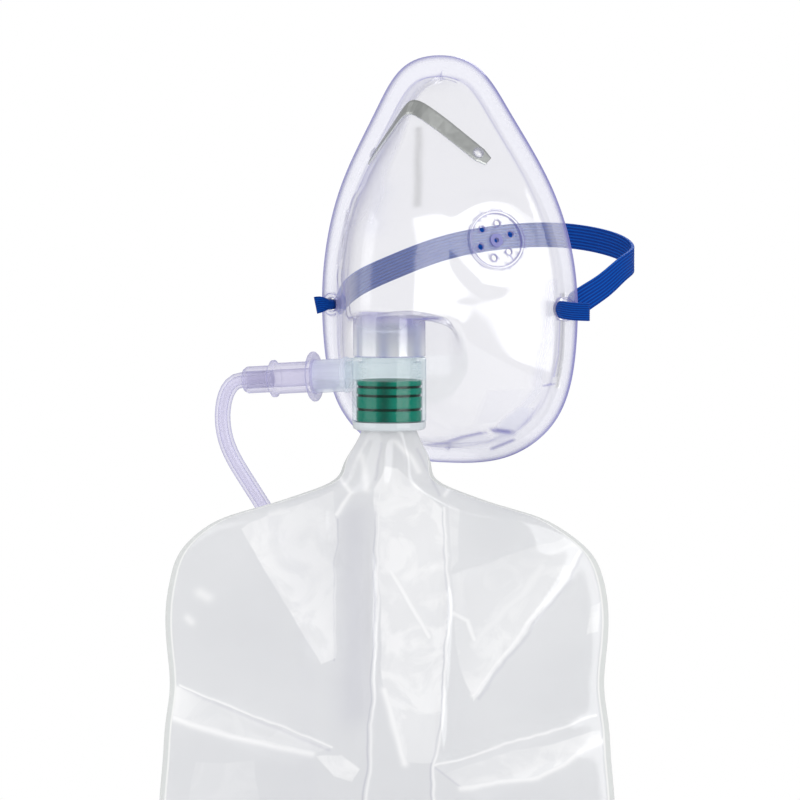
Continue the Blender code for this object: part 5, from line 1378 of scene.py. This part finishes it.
def area_light(name, place, size, power):
    """Rectangular lamp that looks at the bag's shoulders."""
    data = bpy.data.lights.new(name, "AREA")
    data.shape = "RECTANGLE"
    data.size, data.size_y = size
    data.energy = power
    lamp = bpy.data.objects.new(name, data)
    lamp.location = place
    aim = Vector((0.0, 0.0, -0.1)) - Vector(place)
    lamp.rotation_euler = aim.to_track_quat("-Z", "Y").to_euler()
    bpy.context.scene.collection.objects.link(lamp)


def build_floor():
    """Round pale floor below the bag, small enough to stay out of the photograph's view."""
    mat = plain_material("floor", "#efeff0", 0.6, grain=0.1, scale=30.0)
    angles = np.linspace(0.0, 2.0 * math.pi, LATHE_SIDES, endpoint=False)
    x, y = FLOOR_RADIUS * np.cos(angles), FLOOR_RADIUS * np.sin(angles)
    verts = np.stack([x, y, np.full_like(x, FLOOR_HEIGHT)], axis=1)
    add_mesh("floor", verts, [list(range(len(verts)))], mat)


def colour_property(name, description, default):
    return bpy.props.FloatVectorProperty(
        name=name,
        description=description,
        default=srgb(default)[:3],
        min=0.0,
        max=1.0,
        subtype="COLOR",
    )


def number_property(name, description, default, **kind):
    return bpy.props.FloatProperty(name=name, description=description, default=default, **kind)


class MaskLooks(bpy.types.PropertyGroup):
    """Colours of the object, and the sizes that only its looks have."""

    vinyl_tint: colour_property("Vinyl tint", "Colour seen through the mask wall", "#f9f9fb")
    vinyl_haze: colour_property("Vinyl haze", "Colour of the mask wall's haze", "#eeedf3")
    vinyl_edge: colour_property("Vinyl edge", "Colour of the mask wall's outline", "#6562b0")
    tube_haze: colour_property("Tube haze", "Colour of the tube and its adaptor", "#e2e1ee")
    tube_edge: colour_property("Tube edge", "Colour of the tube at its outline", "#7975bb")
    # Ribs painted lighter and grooves painted darker: painted light and shade on one blue
    strap_rib_lit: colour_property("Strap rib", "Colour of the elastic's ribs", "#0050b0")
    strap_groove_shade: colour_property("Strap groove", "Colour between its ribs", "#002d80")
    band: colour_property("Band", "Colour of the connector's band", "#007460")
    film: colour_property("Film", "Grey of the bag's film", "#e3e4e6")
    seam: number_property("Seam", "Width of the bag's weld", 1.5 * MM, unit="LENGTH")
    bore: number_property("Bore", "Radius of the tube's inner wall", 1.6 * MM, unit="LENGTH")


class MaskStage(bpy.types.PropertyGroup):
    """Camera of the stage."""

    azimuth: number_property(
        "Azimuth", "Camera's angle round the object", math.radians(33.0), subtype="ANGLE"
    )
    elevation: number_property(
        "Elevation", "Camera's angle above the horizon", math.radians(3.0), subtype="ANGLE"
    )
    distance: number_property("Distance", "From the camera to its target", 1.6, unit="LENGTH")
    lens: number_property("Lens", "Focal length in millimetres", 212.4)
    target: bpy.props.FloatVectorProperty(
        name="Target",
        description="Point that the camera looks at",
        default=(0.00305, -0.03463, -0.0478),
        subtype="TRANSLATION",
    )


class MASK_OT_stage(bpy.types.Operator):
    """Adds the camera, the lights, the background and the floor"""

    bl_idname = "mask.stage"
    bl_label = "Add stage"

    def execute(self, context):
        build_camera(context.scene.mask_stage)
        build_world()
        area_light("key", (-0.95, -1.28, 0.35), (1.7, 1.9), 16.0)
        area_light("fill", (1.56, -0.34, 0.2), (0.8, 1.8), 14.0)
        area_light("back", (-0.5, 1.4, 0.8), (1.0, 1.0), 10.0)
        build_floor()
        return {"FINISHED"}


class MASK_OT_tube(bpy.types.Operator):
    """Adds the oxygen tube with its coil, and paints its adaptor, tie and connector"""

    bl_idname = "mask.tube"
    bl_label = "Add oxygen tube"

    def execute(self, context):
        looks = context.scene.mask_looks
        # Soft extruded vinyl: a matt lilac glow with a broad darker edge
        haze, edge = looks.tube_haze, looks.tube_edge
        look = {"haze": 0.24, "blur": 0.3, "shine": 0.04, "outline": (2.6, 0.55)}
        lilac = vinyl_material("lilac_vinyl", "#f7f6fc", haze, edge, **look)
        build_tube(lilac, looks.bore)
        paint("tube_adaptor", lilac)
        paint("tube_end_connector", lilac)
        # Moulded nylon tie: plain matt white
        paint("coil_tie", plain_material("white_tie", "#e4e4e2", 0.6, grain=0.2))
        return {"FINISHED"}


class MASK_OT_mask(bpy.types.Operator):
    """Adds the mask wall and the strap, and paints the nose clip"""

    bl_idname = "mask.mask"
    bl_label = "Add mask"

    def execute(self, context):
        looks = context.scene.mask_looks
        # Moulded clear vinyl: nearly invisible face on, violet along every edge
        tint, haze, edge = looks.vinyl_tint, looks.vinyl_haze, looks.vinyl_edge
        look = {"haze": 0.14, "blur": 0.1, "shine": 0.04, "marks": mask_marks}
        build_mask(vinyl_material("clear_vinyl", tint, haze, edge, **look))
        build_strap(elastic_material(looks.strap_groove_shade, looks.strap_rib_lit))
        # Rolled aluminium strip: a satin grey that mirrors the dim studio
        paint("nose_clip", plain_material("aluminium", "#e0e3e1", 0.3, 1.0, 0.15))
        return {"FINISHED"}


class MASK_OT_connector(bpy.types.Operator):
    """Paints the connector, its valve, the green band and the ring"""

    bl_idname = "mask.connector"
    bl_label = "Paint connector"

    def execute(self, context):
        # Moulded hard plastic: faintly blue and clear, with a sharp small gloss
        colours = ("#fbfefe", "#ecf5f9", "#7f93b8")
        look = {"haze": 0.24, "blur": 0.05, "shine": 0.012, "marks": tee_marks}
        clear = vinyl_material("clear_plastic", *colours, **look)
        paint("tee_connector", clear)
        # Moulded silicone: milky and soft
        paint("valve_flap", plain_material("silicone", "#dfe3e6", 0.35, grain=0.1))
        paint("green_band", band_material(context.scene.mask_looks.band))
        # Moulded white plastic: smooth and shiny
        paint("bag_retaining_ring", plain_material("white_plastic", "#c6ccd0", 0.2, grain=0.1))
        return {"FINISHED"}


class MASK_OT_bag(bpy.types.Operator):
    """Adds the reservoir bag's film"""

    bl_idname = "mask.bag"
    bl_label = "Add bag"

    def execute(self, context):
        looks = context.scene.mask_looks
        build_bag(film_material(looks.film), looks.seam)
        return {"FINISHED"}


class MASK_PT_panel(bpy.types.Panel):
    """Lists the pieces"""

    bl_label = "Oxygen mask"
    bl_idname = "MASK_PT_panel"
    bl_space_type = "VIEW_3D"
    bl_region_type = "UI"
    bl_category = "Mask"

    def draw(self, context):
        column = self.layout.column()
        for group in (context.scene.mask_looks, context.scene.mask_stage):
            for name in group.__annotations__:
                column.prop(group, name)
        for operator in OPERATORS:
            column.operator(operator.bl_idname)


OPERATORS = (MASK_OT_stage, MASK_OT_tube, MASK_OT_mask, MASK_OT_connector, MASK_OT_bag)
CLASSES = (MaskLooks, MaskStage, *OPERATORS, MASK_PT_panel)


def register():
    for cls in CLASSES:
        bpy.utils.register_class(cls)
    bpy.types.Scene.mask_looks = bpy.props.PointerProperty(type=MaskLooks)
    bpy.types.Scene.mask_stage = bpy.props.PointerProperty(type=MaskStage)


def unregister():
    del bpy.types.Scene.mask_stage
    del bpy.types.Scene.mask_looks
    for cls in reversed(CLASSES):
        bpy.utils.unregister_class(cls)


def main():
    register()
    bpy.context.scene.view_settings.view_transform = "Standard"
    bpy.ops.mask.stage()
    bpy.ops.mask.tube()
    bpy.ops.mask.mask()
    bpy.ops.mask.connector()
    bpy.ops.mask.bag()


if __name__ == "__main__":
    main()
